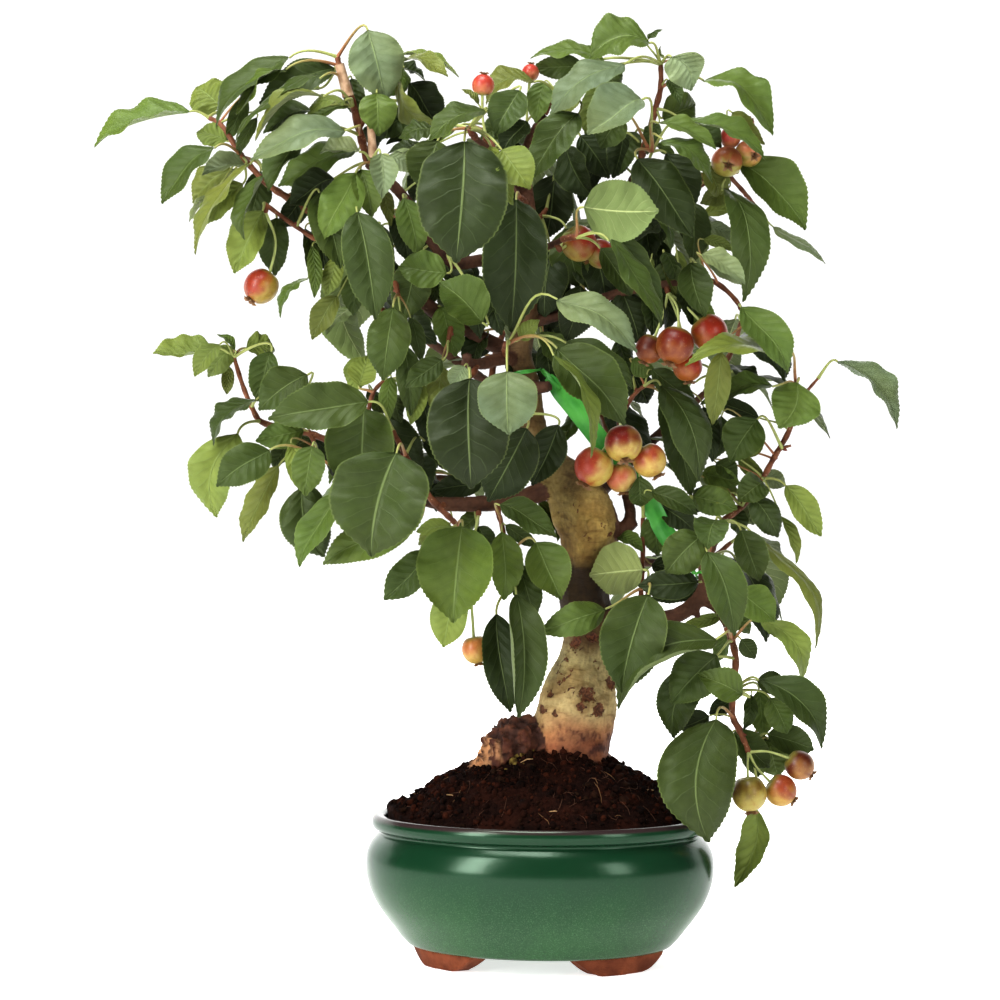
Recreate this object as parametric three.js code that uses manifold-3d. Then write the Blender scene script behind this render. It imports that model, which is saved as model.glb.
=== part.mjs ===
// Crabapple bonsai in an oval glazed pot, in millimetres. +Z is up and the front faces -Y.
import * as THREE from 'three';
import { mergeVertices } from 'three/addons/utils/BufferGeometryUtils.js';
import Module from 'manifold-3d';

const wasm = await Module();
wasm.setup();

// ---------------------------------------------------------------- driving dimensions

const GAP = 0.3; // between two pieces that touch
const CLEARANCE = 0.45; // between foliage of different sprays

const POT = {
  length: 194, // over the belly
  depth: 150,
  turn: THREE.MathUtils.degToRad(-10), // right end nearer the front
  foot: 10, // height of the feet
  floor: 17, // top of the pot's floor
  rim: 82,
  drainRadius: 7,
  drainSpread: 60, // between the two drain holes
};

const DRAIN_MESH = { size: 26, thickness: 1.2, slots: 4, slotLength: 18, slotWidth: 3 };

const MOUND = { edge: 80, crown: 33, lumps: 1.4 }; // soil height at the rim, and its rise above that

const STRIP = { width: 8.5, thickness: 0.8, gathered: 4.2 }; // green tie, narrower where it is looped

const BLADE = {
  rib: 1.3, // thickness along the midrib
  fold: 0.2, // rise of each half towards its edge
  wave: 0.045, // waving of the edge, as a share of the width
  bow: 0.12, // height of the arch, as a share of the length
};

const PETIOLE = { foot: 0.85, middle: 0.6, end: 0.5, straight: 22 }; // radii; it is straight if shorter

// Half-widths along each side of a blade, [place along it, share of the half-width], by size.
const LARGE = { from: 25, edge: [[0.09, 0.5], [0.27, 0.92], [0.48, 1], [0.7, 0.72], [0.87, 0.34]],
  rib: [0.28, 0.66] };
const MEDIUM = { from: 0, edge: [[0.12, 0.58], [0.37, 1], [0.64, 0.82], [0.85, 0.38]], rib: [0.45] };

// ---------------------------------------------------------------- the front elevation
// The branches and leaves are laid out on a front elevation in perspective, drawn on the plane y = 0 as
// an eye on the pot's front side sees them. spot(x, z, y) is the point that the eye sees at (x, z) of the
// elevation and that lies at depth y.

const EYE = new THREE.Vector3(-23, -1400, 258);

function slide(point, depth) {
  const share = 1 + depth / (point.y - EYE.y);
  return point.clone().sub(EYE).multiplyScalar(share).add(EYE);
}

function spot(x, z, y) {
  return slide(new THREE.Vector3(x, 0, z), y);
}

// ---------------------------------------------------------------- solids

function solid(geometry) {
  const bare = geometry.clone();
  bare.deleteAttribute('normal');
  bare.deleteAttribute('uv');
  const merged = mergeVertices(bare, 1e-4);
  return new wasm.Manifold(new wasm.Mesh({
    numProp: 3,
    vertProperties: new Float32Array(merged.attributes.position.array),
    triVerts: new Uint32Array(merged.index.array),
  }));
}

function joined(solids) {
  return solids.reduce((sum, next) => sum.add(next));
}

function meshOf(name, body, color, roughness, metalness = 0) {
  const { vertProperties, triVerts } = body.getMesh();
  const geometry = new THREE.BufferGeometry();
  geometry.setAttribute('position', new THREE.BufferAttribute(vertProperties, 3));
  geometry.setIndex(new THREE.BufferAttribute(triVerts, 1));
  geometry.computeVertexNormals();
  const mesh = new THREE.Mesh(geometry, new THREE.MeshStandardMaterial({ color, roughness, metalness }));
  mesh.name = name;
  return mesh;
}

// A closed cylinder bent along a smooth curve through the points, tapering from radius to radius.
function limbSolid(points, radii, sides, stepsPerSpan = 1, relief = () => 1) {
  const curve = new THREE.CatmullRomCurve3(points, false, 'centripetal');
  const steps = (points.length - 1) * stepsPerSpan;
  const first = curve.getTangent(0);
  let across = new THREE.Vector3(0, 1, 0).cross(first);
  if (across.length() < 0.3) across = new THREE.Vector3(1, 0, 0).cross(first);
  const rings = [];
  for (let i = 0; i <= steps; i += 1) {
    const ahead = curve.getTangent(i / steps);
    across = across.clone().addScaledVector(ahead, -across.dot(ahead)).normalize();
    const span = Math.min(Math.floor(i / stepsPerSpan), points.length - 2);
    const radius = THREE.MathUtils.lerp(radii[span], radii[span + 1], i / stepsPerSpan - span);
    rings.push({ centre: curve.getPoint(i / steps), across, side: across.clone().cross(ahead), radius });
  }
  const geometry = new THREE.CylinderGeometry(1, 1, 1, sides, steps);
  const place = geometry.attributes.position;
  const v = new THREE.Vector3();
  for (let i = 0; i < place.count; i += 1) {
    v.fromBufferAttribute(place, i);
    const ring = rings[Math.round((v.y + 0.5) * steps)];
    const reach = ring.radius * relief(Math.atan2(v.z, v.x), ring.centre.z);
    const at = ring.centre.clone().addScaledVector(ring.across, v.x * reach)
      .addScaledVector(ring.side, v.z * reach);
    place.setXYZ(i, at.x, at.y, at.z);
  }
  return solid(geometry);
}

// A limb given by rows of [x, z, depth, radius] on the elevation.
function drawnLimb(rows, sides, stepsPerSpan, relief) {
  const points = rows.map(([x, z, y]) => spot(x, z, y));
  return limbSolid(points, rows.map((row) => row[3]), sides, stepsPerSpan, relief);
}

// ---------------------------------------------------------------- pot, drain meshes and soil

function turned(profile, segments) {
  const geometry = new THREE.LatheGeometry(profile.map(([r, z]) => new THREE.Vector2(r, z)), segments);
  return geometry.rotateX(Math.PI / 2).scale(1, POT.depth / POT.length, 1).rotateZ(POT.turn);
}

// One cloud foot: an arc of the base with a flat sole, whose underside sweeps up at both ends.
function footSolid(middle) {
  const span = THREE.MathUtils.degToRad(55);
  const flat = 0.42;
  const sunk = 1.6;
  const geometry = new THREE.BoxGeometry(1, 1, 1, 8, 1, 1);
  const place = geometry.attributes.position;
  for (let i = 0; i < place.count; i += 1) {
    const along = place.getX(i);
    const outer = place.getY(i) > 0;
    const top = place.getZ(i) > 0;
    const sweep = Math.max(0, (Math.abs(2 * along) - flat) / (1 - flat));
    const height = top ? POT.foot + sunk : POT.foot * sweep ** 1.7;
    const narrowing = 4 * (1 - height / (POT.foot + sunk));
    const reach = outer ? 70 - narrowing : 51 + narrowing;
    const angle = middle - along * span;
    place.setXYZ(i, reach * Math.cos(angle), reach * Math.sin(angle), height);
  }
  return solid(geometry.scale(1, POT.depth / POT.length, 1).rotateZ(POT.turn));
}

function potSolid() {
  const belly = POT.length / 2;
  const body = solid(turned([
    [0, POT.foot], [belly - 25, POT.foot], [belly - 15.5, 20], [belly - 5.5, 34], [belly, 55],
    [belly - 3.5, 67], [belly - 7.8, 72], [belly - 4.2, 74.5], [belly - 4.2, 80.8], [belly - 5.6, POT.rim],
    [belly - 10.5, POT.rim], [belly - 12.5, 72], [belly - 8, 56], [belly - 14, 34], [belly - 30, POT.floor],
    [0, POT.floor],
  ], 26));
  const feet = [40, 140, 220, 320].map((degrees) => footSolid(THREE.MathUtils.degToRad(degrees)));
  const holes = [-1, 1].map((side) => {
    const hole = new THREE.CylinderGeometry(POT.drainRadius, POT.drainRadius, 20, 16).rotateX(Math.PI / 2);
    return solid(hole.translate(side * POT.drainSpread / 2, 0, POT.floor - 5).rotateZ(POT.turn));
  });
  return joined([body, ...feet]).subtract(joined(holes));
}

// A square plastic net over one drain hole.
function drainMeshSolid(side) {
  const { size, thickness, slots, slotLength, slotWidth } = DRAIN_MESH;
  const plate = solid(new THREE.BoxGeometry(size, size, thickness));
  const pitch = slotLength / (slots - 1);
  const openings = [];
  for (let i = 0; i < slots; i += 1) {
    const slot = new THREE.BoxGeometry(slotWidth, slotLength, 2 * thickness);
    openings.push(solid(slot.translate((i - (slots - 1) / 2) * pitch, 0, 0)));
  }
  const net = plate.subtract(joined(openings));
  return net.translate([side * POT.drainSpread / 2, 0, POT.floor + GAP + thickness / 2])
    .rotate([0, 0, THREE.MathUtils.radToDeg(POT.turn)]);
}

function moundHeight(x, y) {
  const round = new THREE.Vector3(x, y, 0).applyAxisAngle(new THREE.Vector3(0, 0, 1), -POT.turn);
  const out = Math.min(1, Math.hypot(round.x, round.y * POT.length / POT.depth) / 84);
  const swell = Math.sin(x * 0.21 + y * 0.13) + Math.sin(y * 0.27 - x * 0.11 + 2);
  const leftHeap = 4.5 * Math.max(0, -x / 84);
  return MOUND.edge + MOUND.crown * (1 - out ** 3) + MOUND.lumps * swell * (1 - out) + leftHeap;
}

// The potting soil: it fills the pot over the drain meshes and rises to a mound round the trunk.
function soilSolid(roots) {
  const belly = POT.length / 2;
  const surface = 200; // marks the profile's points that lie on the mound
  const bottom = POT.floor + 2 * GAP + DRAIN_MESH.thickness;
  const geometry = turned([
    [0, bottom], [belly - 31.5, bottom], [belly - 15, 34.6], [belly - 8.9, 56], [belly - 13.2, 71.5],
    [belly - 13.2, surface], [72, surface], [58, surface], [43, surface], [28, surface], [0, surface],
  ], 18);
  const place = geometry.attributes.position;
  for (let i = 0; i < place.count; i += 1) {
    if (place.getZ(i) === surface) place.setZ(i, moundHeight(place.getX(i), place.getY(i)));
  }
  return solid(geometry).subtract(roots).subtract(roots.translate([0, 0, -1]));
}

// ---------------------------------------------------------------- wood
// Rows are [x, z, depth, radius] on the front elevation.

const TRUNK = [
  [12, 90, 0, 25], [14.5, 108, 0, 23.5], [15.7, 121, 0, 22.5], [19, 146, -1, 22.5],
  [23.6, 168, -2, 17.8], [26.5, 185, -3, 14.8], [24.5, 203, -3, 13.6], [25.5, 225, -4, 14],
  [27, 242, -5, 17.5], [22.5, 255, -5, 17], [15, 267, -4, 13.5], [3.5, 279, -3, 11], [-6, 299, -1, 8.6],
  [-8, 320, 0, 7.6], [-12, 338, 0, 7], [-9, 360, 0, 6.4], [-5.5, 385, 0, 5.8], [-8, 420, 2, 4.8],
  [-9.5, 445, 2, 3.6], [-6, 460, 1, 2.8], [2, 474, 0, 2.2],
];

const ROOT_LUMP = [
  [12, 106, 1, 19], [-8, 118, -3, 17], [-22, 119, -6, 15], [-32, 108, -8, 11], [-37, 96, -9, 7],
];

const KNEE_ROOT = [[20, 112, 4, 16], [34, 104, 12, 11], [45, 94, 20, 6]];

const LIMBS = {
  upperLeft: [[-14, 339, 0, 6], [-30, 347, -3, 5.4], [-50, 358, -6, 5], [-60, 364, -8, 5.2],
    [-82, 382, -14, 4.8], [-112, 403, -20, 4], [-130, 419, -22, 3.2]],
  topLeft: [[-6, 386, 0, 4.8], [-30, 392, -10, 4.6], [-50, 391.5, -18, 4.8], [-65, 409, -22, 4.4],
    [-78, 429, -24, 4], [-97, 447, -24, 3.4]],
  frontBranch: [[-12, 337, 0, 5], [-22, 337, -12, 4.8], [-35, 334, -28, 4.4], [-43, 335, -38, 4]],
  lowerLeft: [[10, 266, -4, 6], [-8, 260, -9, 5], [-23, 257, -14, 4.5], [-45, 255.5, -20, 4],
    [-66, 258, -22, 3.6], [-95, 278, -20, 3], [-118, 291, -18, 2.5]],
  frontCrown: [[-9, 430, 2, 3.6], [-24, 449, -28, 3], [-37, 461, -50, 2.4]],
  topRight: [[-8, 368, 0, 5], [10, 384, 8, 4.6], [32, 404, 10, 4.2], [46, 428, 6, 3.4],
    [55, 446, 3, 2.6]],
  rightCrown: [[32, 404, 10, 3.4], [60, 421, 16, 3], [84, 432, 12, 2.6], [98, 439, 6, 2.2]],
  rightMiddle: [[-9, 356, 1, 4.6], [18, 364, 2, 4], [44, 374, -8, 3.6], [66, 378, -14, 3.2],
    [84, 380, -16, 2.6]],
  rosette: [[-6, 392, 0, 3.6], [0, 398, -18, 3.2], [6, 401, -32, 2.6], [12, 404, -42, 2.2]],
  kneeTwig: [[34, 240, -4, 6], [46, 241.5, -4, 4.6], [50, 248, -3, 3.4], [48, 262, 0, 2.8],
    [46, 284, 5, 2.2], [44, 303, 3, 1.9]],
  lowerRight: [[26, 192, -3, 7], [45, 194.5, -7, 5], [72, 192, -11, 4.4], [87, 201, -13, 4.2],
    [92, 210, -12, 4], [91.5, 222, -8, 3.4], [97, 236, -4, 2.8]],
  lowestRight: [[88, 203, -13, 3.2], [99, 196, -16, 2.8], [104, 187, -17, 2.5]],
  backLeft: [[-6, 302, 3, 5], [-28, 322, 34, 4.2], [-60, 345, 62, 3.4], [-86, 362, 80, 2.6]],
  backRight: [[24, 252, 6, 6], [46, 276, 40, 4.4], [72, 300, 68, 3.4], [92, 318, 84, 2.6]],
  backTop: [[-8, 404, 2, 4], [-14, 428, 34, 3.4], [-22, 446, 62, 2.6]],
  backLow: [[24, 228, 6, 5], [48, 224, 36, 3.8], [76, 222, 58, 2.8]],
  backSide: [[6, 276, 4, 5], [-26, 270, 32, 4], [-58, 270, 56, 3]],
};

// Pruned stubs, each a short tapering peg.
const STUBS = [
  [[-8, 322, -2, 4.2], [0, 321, -9, 3.6], [5, 322, -13, 3.2]],
  [[-41, 334, -36, 3.2], [-41.5, 339, -42, 2.8]],
  [[-96, 444, -24, 2.6], [-95, 455, -30, 2.4], [-95, 467, -31, 2.2]],
  [[-109, 286, -19, 2.4], [-112, 293, -24, 1.8]],
  [[86, 199, -13, 2.4], [88, 192, -16, 1.8]],
  [[50, 247, -3, 3], [53, 243, -6, 2.2]],
  [[28, 243, -16, 6.5], [31, 244, -24, 5]],
];

function barkRelief(angle, height) {
  return 1 + 0.05 * Math.sin(3 * angle + height * 0.045) + 0.035 * Math.sin(5 * angle - height * 0.08);
}

// The trunk and its two surface roots, thickened all round by the given amount.
function trunkSolids(extra = 0) {
  const grown = (rows) => rows.map(([x, z, y, radius]) => [x, z, y, radius + extra]);
  return [
    drawnLimb(grown(TRUNK), 10, 1, barkRelief),
    drawnLimb(grown(ROOT_LUMP), 9, 1, barkRelief),
    drawnLimb(grown(KNEE_ROOT), 8, 1, barkRelief),
  ];
}

function branchSolids() {
  const branches = Object.values(LIMBS).map((rows) => drawnLimb(rows, 5));
  const stubs = STUBS.map((rows) => drawnLimb(rows, 3));
  return [...branches, ...stubs];
}

// ---------------------------------------------------------------- sprays and bunches
// Each spray starts just off the wood that its root lies in. Its first stem leads on from the root, and
// any further stem starts on one before it. Stem rows are [x, z, depth, radius]. Leaf rows are
// [x, z, tip x, tip z, width, turn, depth, lean, bow]: the blade's foot and tip on the elevation, its true
// width, its turn about the midrib (0 shows the upper face, 90 the edge, 180 the underside), the depth of
// its foot, how far the tip lies behind that (less than 0 is in front) and the height of its arch.

const SPRAYS = [
  { name: 'spray_far_left', root: [-130, 419, -22],
    stems: [[[-143, 428, -22, 2], [-152, 434, -22, 1.8], [-167, 450, -18, 1.6], [-180, 469, -12, 1.4],
      [-186, 472, -11, 1.2]]],
    leaves: [
      [-197, 475.5, -251, 458, 28, 60, -14, -6], [-179, 478, -193, 489, 24, 10, 4, 8],
      [-183, 455, -212.5, 424, 24, 45, -36, -6], [-176, 459, -193, 464, 16, 20, 0, 6],
      [-166, 446, -190, 440, 16, 40, -24, -4], [-167, 435, -191, 411.5, 18, 20, -8, 6],
      [-163, 446, -193, 395, 20, 62, -46, -8], [-155, 440, -167, 404, 18, 58, -54, -6]] },
  { name: 'spray_left_twig', root: [-108, 400, -19.5],
    stems: [[[-122, 402, -29, 1.5], [-137, 411, -33, 1.3], [-155, 424, -37, 1.2]]],
    leaves: [
      [-156, 420, -172.5, 385, 20, 10, -38, 4], [-148, 416, -149, 383.5, 17, 5, -34, 2],
      [-124, 430, -112, 388, 22, 10, -44, -4]] },
  { name: 'spray_top_left', root: [-97, 447, -24],
    stems: [[[-101, 462, -22, 2.2], [-105, 478, -20, 2.1], [-109, 492, -19, 2], [-113, 501, -18, 1.8],
      [-114, 506, -18, 1.4]],
      [[-102, 466, -21.6, 1.6], [-94, 482, -16, 1.4], [-88, 495, -12, 1.2]]],
    leaves: [
      [-141, 505.5, -181, 466, 26, 48, -24, -2, 0.22], [-143, 499, -171, 474, 20, 65, -32, -4],
      [-124, 494, -170, 456, 20, 66, -42, -6, 0.18], [-124, 488.5, -149, 484, 20, 60, -8, 6],
      [-122, 484, -160, 459, 18, 66, -56, -6, 0.2], [-97, 521, -87, 481, 30, 8, -34, 4],
      [-128, 476, -156, 464, 18, 50, -30, 0], [-110, 465, -163, 449, 26, 40, -62, -10],
      [-132, 461, -153, 431, 24, 40, -44, -4], [-110, 482, -130, 475, 16, 55, -38, -4],
      [-92, 486, -91, 462, 20, 8, -36, -4], [-78, 508, -46, 494.5, 14, 72, -8, 4],
      [-77, 504.5, -52, 495.5, 16, 60, -16, -2], [-80, 500, -65, 492.5, 14, 60, 0, 4],
      [-74, 491, -56, 464, 20, 25, -12, 4], [-82, 492, -59, 466, 18, -60, -24, -4]] },
  { name: 'spray_left_crown', root: [-90, 440.5, -24],
    stems: [[[-92, 443, -34, 1.8], [-95, 447, -42, 1.4]]],
    leaves: [
      [-102, 453, -124, 452, 18, 52, -50, -2], [-90, 452, -89, 427, 15, 8, -58, -4],
      [-104, 441, -122, 404, 22, 10, -54, 0], [-101, 443, -95, 416, 17, 8, -50, -2]] },
  { name: 'spray_front_crown', root: [-37, 461, -50],
    stems: [[[-39, 464, -57, 2], [-40, 466, -61, 1.5]]],
    leaves: [
      [-43, 459, -48, 391, 46, 6, -84, -8, 0.08], [-58, 459, -66, 430, 24, 12, -66, -2],
      [-28, 456, -15, 423, 16, -30, -72, -4], [-22, 454, -6, 432, 20, 10, -80, -6],
      [-12, 487, -26, 462, 20, 14, -62, -6], [-32, 477, -63, 460, 18, 42, -74, -8],
      [-60, 466, -80, 461, 18, 50, -54, 0]] },
  { name: 'spray_top_right', root: [55, 446, 3],
    stems: [[[57, 453, 0, 2.1], [60, 462, -1, 2], [64, 477, -2, 1.8], [67, 489, -3, 1.6],
      [67, 502, -4, 1.3]],
      [[58, 455, 0, 1.4], [60, 455, -10, 1.2], [62, 453, -18, 1]]],
    leaves: [
      [60.5, 514, 27, 504, 28, 35, -10, 0], [36, 502, -6, 506, 20, 55, 6, 8],
      [46.5, 502, 5, 474, 24, 42, -30, -8], [33, 499, 44, 487, 16, 15, 14, 0],
      [56, 482, 26, 462, 28, 30, -44, -8], [73, 506, 84, 487, 22, -20, -12, 0],
      [68, 472, 87, 480, 22, -15, 4, 8], [91, 493, 131, 464, 28, 55, -14, -8, 0.2],
      [78, 469, 126, 449, 20, 58, -28, -6], [82, 469, 101, 455, 15, 15, -10, 0],
      [66, 469, 98, 454, 16, 50, -44, -6], [68, 460, 97, 437, 20, 50, -52, -4],
      [54, 449, 85, 405, 26, 16, -40, -8], [70, 452, 85, 420, 18, 15, -20, 0],
      [60, 436, 73, 398, 16, 60, -28, -4], [45, 472, 33, 455, 17, 12, -22, 0]] },
  { name: 'spray_right_crown', root: [98, 439, 6],
    stems: [[[104, 441, 3, 1.7], [110, 442, 0, 1.5]],
      [[104, 441, 3, 1.4], [114, 430, 14, 1.2], [119, 424, 20, 1]]],
    leaves: [
      [111, 446, 148, 409, 28, 14, -14, -2], [101.5, 431.5, 112, 368, 24, 52, -34, -10, 0.22],
      [93, 445, 100, 427, 14, 10, -8, 4], [130, 411, 159.5, 390.5, 14, 60, 24, 6],
      [84, 425, 85, 390, 16, 10, -6, 0]] },
  { name: 'spray_right_middle', root: [84, 380, -16],
    stems: [[[92, 381, -19, 1.6], [99, 379, -22, 1.5], [111, 367, -24, 1.2], [114, 356, -24, 1]]],
    leaves: [
      [84, 391, 92, 360.5, 19, 8, -36, -4], [90, 395, 114, 378, 14, 30, -48, -6],
      [112, 366, 138, 329, 22, 20, -30, -2], [101, 341, 96, 300, 14, 10, -26, 4]] },
  { name: 'spray_lower_left', root: [-118, 291, -18],
    stems: [[[-129, 295, -17.5, 1.9], [-140, 298, -17, 1.8], [-157, 302, -15, 1.6], [-162, 310, -14, 1.5],
      [-167, 322, -12, 1.3], [-172, 338, -11, 1.2]],
      [[-129, 295, -17.5, 1.4], [-126, 287, -24, 1.2], [-124, 281, -29, 1]]],
    leaves: [
      [-185, 343.5, -217.5, 341, 20, 52, -12, -2], [-165, 343, -149, 342, 18, 40, -2, 6],
      [-151, 341, -159, 313, 16, 8, -30, 0], [-131, 328, -158, 308, 24, 14, -34, 4],
      [-159.5, 314, -184, 289, 20, 58, -32, -4, 0.2], [-170, 295, -182, 248, 26, 8, -30, 6],
      [-152, 286, -182, 266, 22, 12, -44, -8], [-147, 277, -168, 234.5, 16, 30, -28, 4],
      [-128, 288, -132, 260, 18, 8, -46, -6], [-133, 266, -121, 226, 26, 10, -40, 2],
      [-112, 260, -135, 220, 18, 30, -56, -8]] },
  { name: 'spray_left_front', root: [-54, 256, -21],
    stems: [[[-57, 254, -31, 1.9], [-64, 262, -36, 1.8], [-76, 283, -42, 1.6], [-83, 297, -44, 1.3]],
      [[-58, 254.6, -32, 1.7], [-51, 248, -35, 1.6], [-47, 244, -37, 1.4]]],
    leaves: [
      [-97, 313, -153, 303.5, 25, 14, -62, -8], [-81, 284, -95, 226, 50, 5, -72, -10, 0.08],
      [-44, 243, -49, 189, 40, 5, -54, -8], [-62, 228, -88, 202, 18, 10, -46, 0],
      [-48, 207, -54.5, 175.5, 20, 8, -36, 2], [-71, 244, -122.5, 222, 22, 12, -48, 6]] },
  { name: 'spray_left_upright', root: [-95, 278, -20],
    stems: [[[-95.5, 288, -23, 1.6], [-97, 302, -26, 1.4], [-94, 318, -28, 1.2], [-88, 325, -29, 1]]],
    leaves: [
      [-99, 309, -100, 262, 36, 6, -42, 4], [-88, 305, -68, 270, 22, 10, -22, 4],
      [-102, 322, -97, 339, 16, 8, -28, 0]] },
  { name: 'spray_limb_left', root: [-98, 393.5, -17],
    stems: [[[-99, 397, -29, 1.6], [-99, 400, -35, 1.3]]],
    leaves: [
      [-103, 419, -92.5, 359, 26, 8, -62, -6], [-90, 412, -90, 364.5, 14, 8, -44, 0],
      [-114, 372, -128, 347.5, 14, 12, -30, 0]] },
  { name: 'spray_limb_near', root: [-82, 382, -14],
    stems: [[[-81, 377, -26, 1.5], [-80, 373, -31, 1.2]]],
    leaves: [
      [-83, 366, -89, 325, 23, 10, -46, 0], [-77, 345, -73, 305, 14, 10, -38, 4]] },
  { name: 'spray_limb_low', root: [-50, 358, -6],
    stems: [[[-51, 352, -19, 1.5], [-52, 347, -25, 1.2]]],
    leaves: [[-55.5, 336, -76, 320.5, 14, 12, -40, 0], [-56, 333, -58, 304, 14, 10, -30, 0]] },
  { name: 'spray_knee_left', root: [-50, 391.5, -18],
    stems: [[[-51, 393, -31, 1.6], [-52, 395, -37, 1.3]]],
    leaves: [
      [-53, 385, -80, 388, 20, 12, -50, 2], [-33, 357.5, -57, 380, 24, 12, -60, 0]] },
  { name: 'spray_limb_top', root: [-74, 423, -23.3],
    stems: [[[-75, 425, -35, 1.5], [-76, 428, -41, 1.2]]],
    leaves: [
      [-77, 427, -69, 394, 17, 10, -50, 2]] },
  { name: 'spray_middle', root: [-20, 337, -10],
    stems: [[[-20, 343, -22, 2], [-19.5, 345, -28, 1.8], [-18, 346, -33, 1.4]]],
    leaves: [
      [-19, 330, -18, 294.5, 31, 6, -66, -4], [9, 370.5, 54, 341, 22, 30, -74, -8],
      [9, 343, 47, 300, 30, 14, -56, -4], [7, 339, 27, 281, 18, 66, -72, -8, 0.16],
      [14, 346, 51, 320, 20, 40, -42, 0]] },
  { name: 'spray_front_stub', root: [-36, 334, -29],
    stems: [[[-38, 329, -40, 1.8], [-40, 327, -45, 1.5]]],
    leaves: [
      [-40, 326, -39, 264, 42, 4, -74, -4]] },
  { name: 'spray_trunk_top', root: [-8, 424, 2],
    stems: [[[-10, 426, -12, 1.7], [-12, 428, -19, 1.4]]],
    leaves: [
      [-14, 426, -17, 352, 34, 6, -38, 0]] },
  { name: 'spray_trunk_low', root: [-7, 306, -1],
    stems: [[[-9, 306, -16, 1.8], [-9, 306, -22, 1.4]]],
    leaves: [
      [-8, 298, -30, 257, 28, 8, -36, 0], [10, 300, -5, 266, 20, 8, -26, 2]] },
  { name: 'spray_trunk_right', root: [-8, 412, 1.5],
    stems: [[[0, 417, 12, 1.6], [3, 421, 17, 1.3]]],
    leaves: [
      [5, 397, 3, 350, 22, 10, 14, 2], [8, 440, 3, 404, 26, 8, 20, 6]] },
  { name: 'spray_centre_top', root: [2, 474, 0],
    stems: [[[6, 482, -1, 1.6], [8, 487, -2, 1.3]]],
    leaves: [
      [21, 474, -6, 437, 22, 20, -34, -6], [20, 490, 8, 472, 15, 10, -10, 0],
      [22, 462, 38, 438, 20, 10, 10, 4], [-4, 492, -31, 480, 20, 48, -8, 0]] },
  { name: 'spray_rosette', root: [12, 404, -42],
    stems: [[[17, 405, -49, 1.8], [20, 405, -53, 1.4]]],
    leaves: [
      [24, 422, 66, 420, 32, 172, -66, -4], [38, 403, 66, 354, 18, 46, -66, -6],
      [33, 399, 50, 372, 16, 10, -44, 8]] },
  { name: 'spray_right_twig', root: [97, 236, -4],
    stems: [[[102, 246, -1, 1.9], [112, 254, 2, 1.8], [124, 270, 6, 1.7], [130, 281, 8, 1.6],
      [139, 297, 10, 1.5], [143, 310, 10, 1.3], [143, 322, 10, 1.1]],
      [[131, 283, 8, 1], [135, 287, 7, 0.9], [140, 288.5, 6, 0.7]],
      [[143, 310, 10, 1.1], [149, 319, 10, 0.9], [155, 326, 10, 0.8]]],
    leaves: [
      [143.5, 323.5, 133, 298, 28, 10, -8, -4], [129.5, 321.5, 89, 312, 16, 45, -16, -6],
      [135, 342, 81, 334.5, 22, 48, -6, -4], [166, 335.5, 199, 297.5, 22, 48, 8, -4, 0.15],
      [121, 303, 106, 279, 24, 10, -6, 0], [137, 266, 157, 237.5, 15, 12, 2, 0],
      [119, 259, 133, 237, 16, 8, -8, 0], [124, 268, 110, 257, 16, 8, -4, -2],
      [119, 238, 153, 174, 16, 58, -10, -6, 0.18], [112, 241, 122, 212.5, 18, 10, -18, -2]] },
  { name: 'spray_centre', root: [44, 303, 3],
    stems: [[[48, 311, 1, 1.4], [53, 318, -1, 1.2], [58, 322, -3, 1]]],
    leaves: [
      [68, 316, 84, 259, 20, 10, -4, 4], [67, 322, 88, 268, 24, 20, -18, -4],
      [52, 328, 60, 312, 16, 10, 8, 2]] },
  { name: 'spray_low_centre', root: [-24, 257, -14.3],
    stems: [[[-24, 251, -24, 1.6], [-22, 244, -28, 1.4], [-19, 226, -28, 1.3], [-17, 210, -28, 1.1]]],
    leaves: [
      [-22, 240, -21, 201.7, 18, 10, -40, 0], [-23, 255, 9, 237, 18, 30, -46, -6],
      [-3, 234, 11, 202, 24, 10, -44, -4], [-12, 222, -3, 192, 16, 8, -36, 0],
      [-25, 194, -17, 139, 20, 8, -36, 4], [-14, 205, -13, 136, 24, 8, -48, -4, 0.14]] },
  { name: 'spray_low_limb', root: [58, 193.2, -9],
    stems: [[[60, 203, -20, 1.7], [60, 209, -25, 1.4]]],
    leaves: [
      [36, 197, -1.5, 184, 18, 14, -40, -6], [60, 205, 45, 150, 34, 6, -50, -4],
      [57, 219, 27, 216, 28, 170, -36, 2], [88, 212, 54, 210, 17, 10, -32, 0]] },
  { name: 'spray_upright', root: [56, 193.5, -8.5],
    stems: [[[56, 206, -10, 1.4], [57, 226, -9, 1.3], [57, 248, -10, 1.2]]],
    leaves: [[55, 271, 56, 254, 14, 8, -18, 0], [62, 263, 88, 250, 12, 12, -16, 0]] },
  { name: 'spray_knuckle', root: [91.6, 220, -8.7],
    stems: [[[93, 224, -20, 1.6], [94, 227, -26, 1.3]]],
    leaves: [
      [90, 238, 70, 217, 22, 10, -38, 0], [98, 247, 93, 231, 18, 12, -34, -4],
      [93, 229, 109, 182, 22, 10, -44, -4]] },
  { name: 'spray_lower_right', root: [104, 187, -17],
    stems: [[[107, 179, -18, 2], [109, 169, -18, 1.9], [107.5, 150, -18, 1.8], [107.5, 136, -18, 1.7],
      [112, 127, -19, 1.6], [115.5, 119, -20, 1.5]],
      [[107.5, 136, -18, 1.3], [113, 128, -9, 1.1], [118, 118, -4, 1]]],
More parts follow.
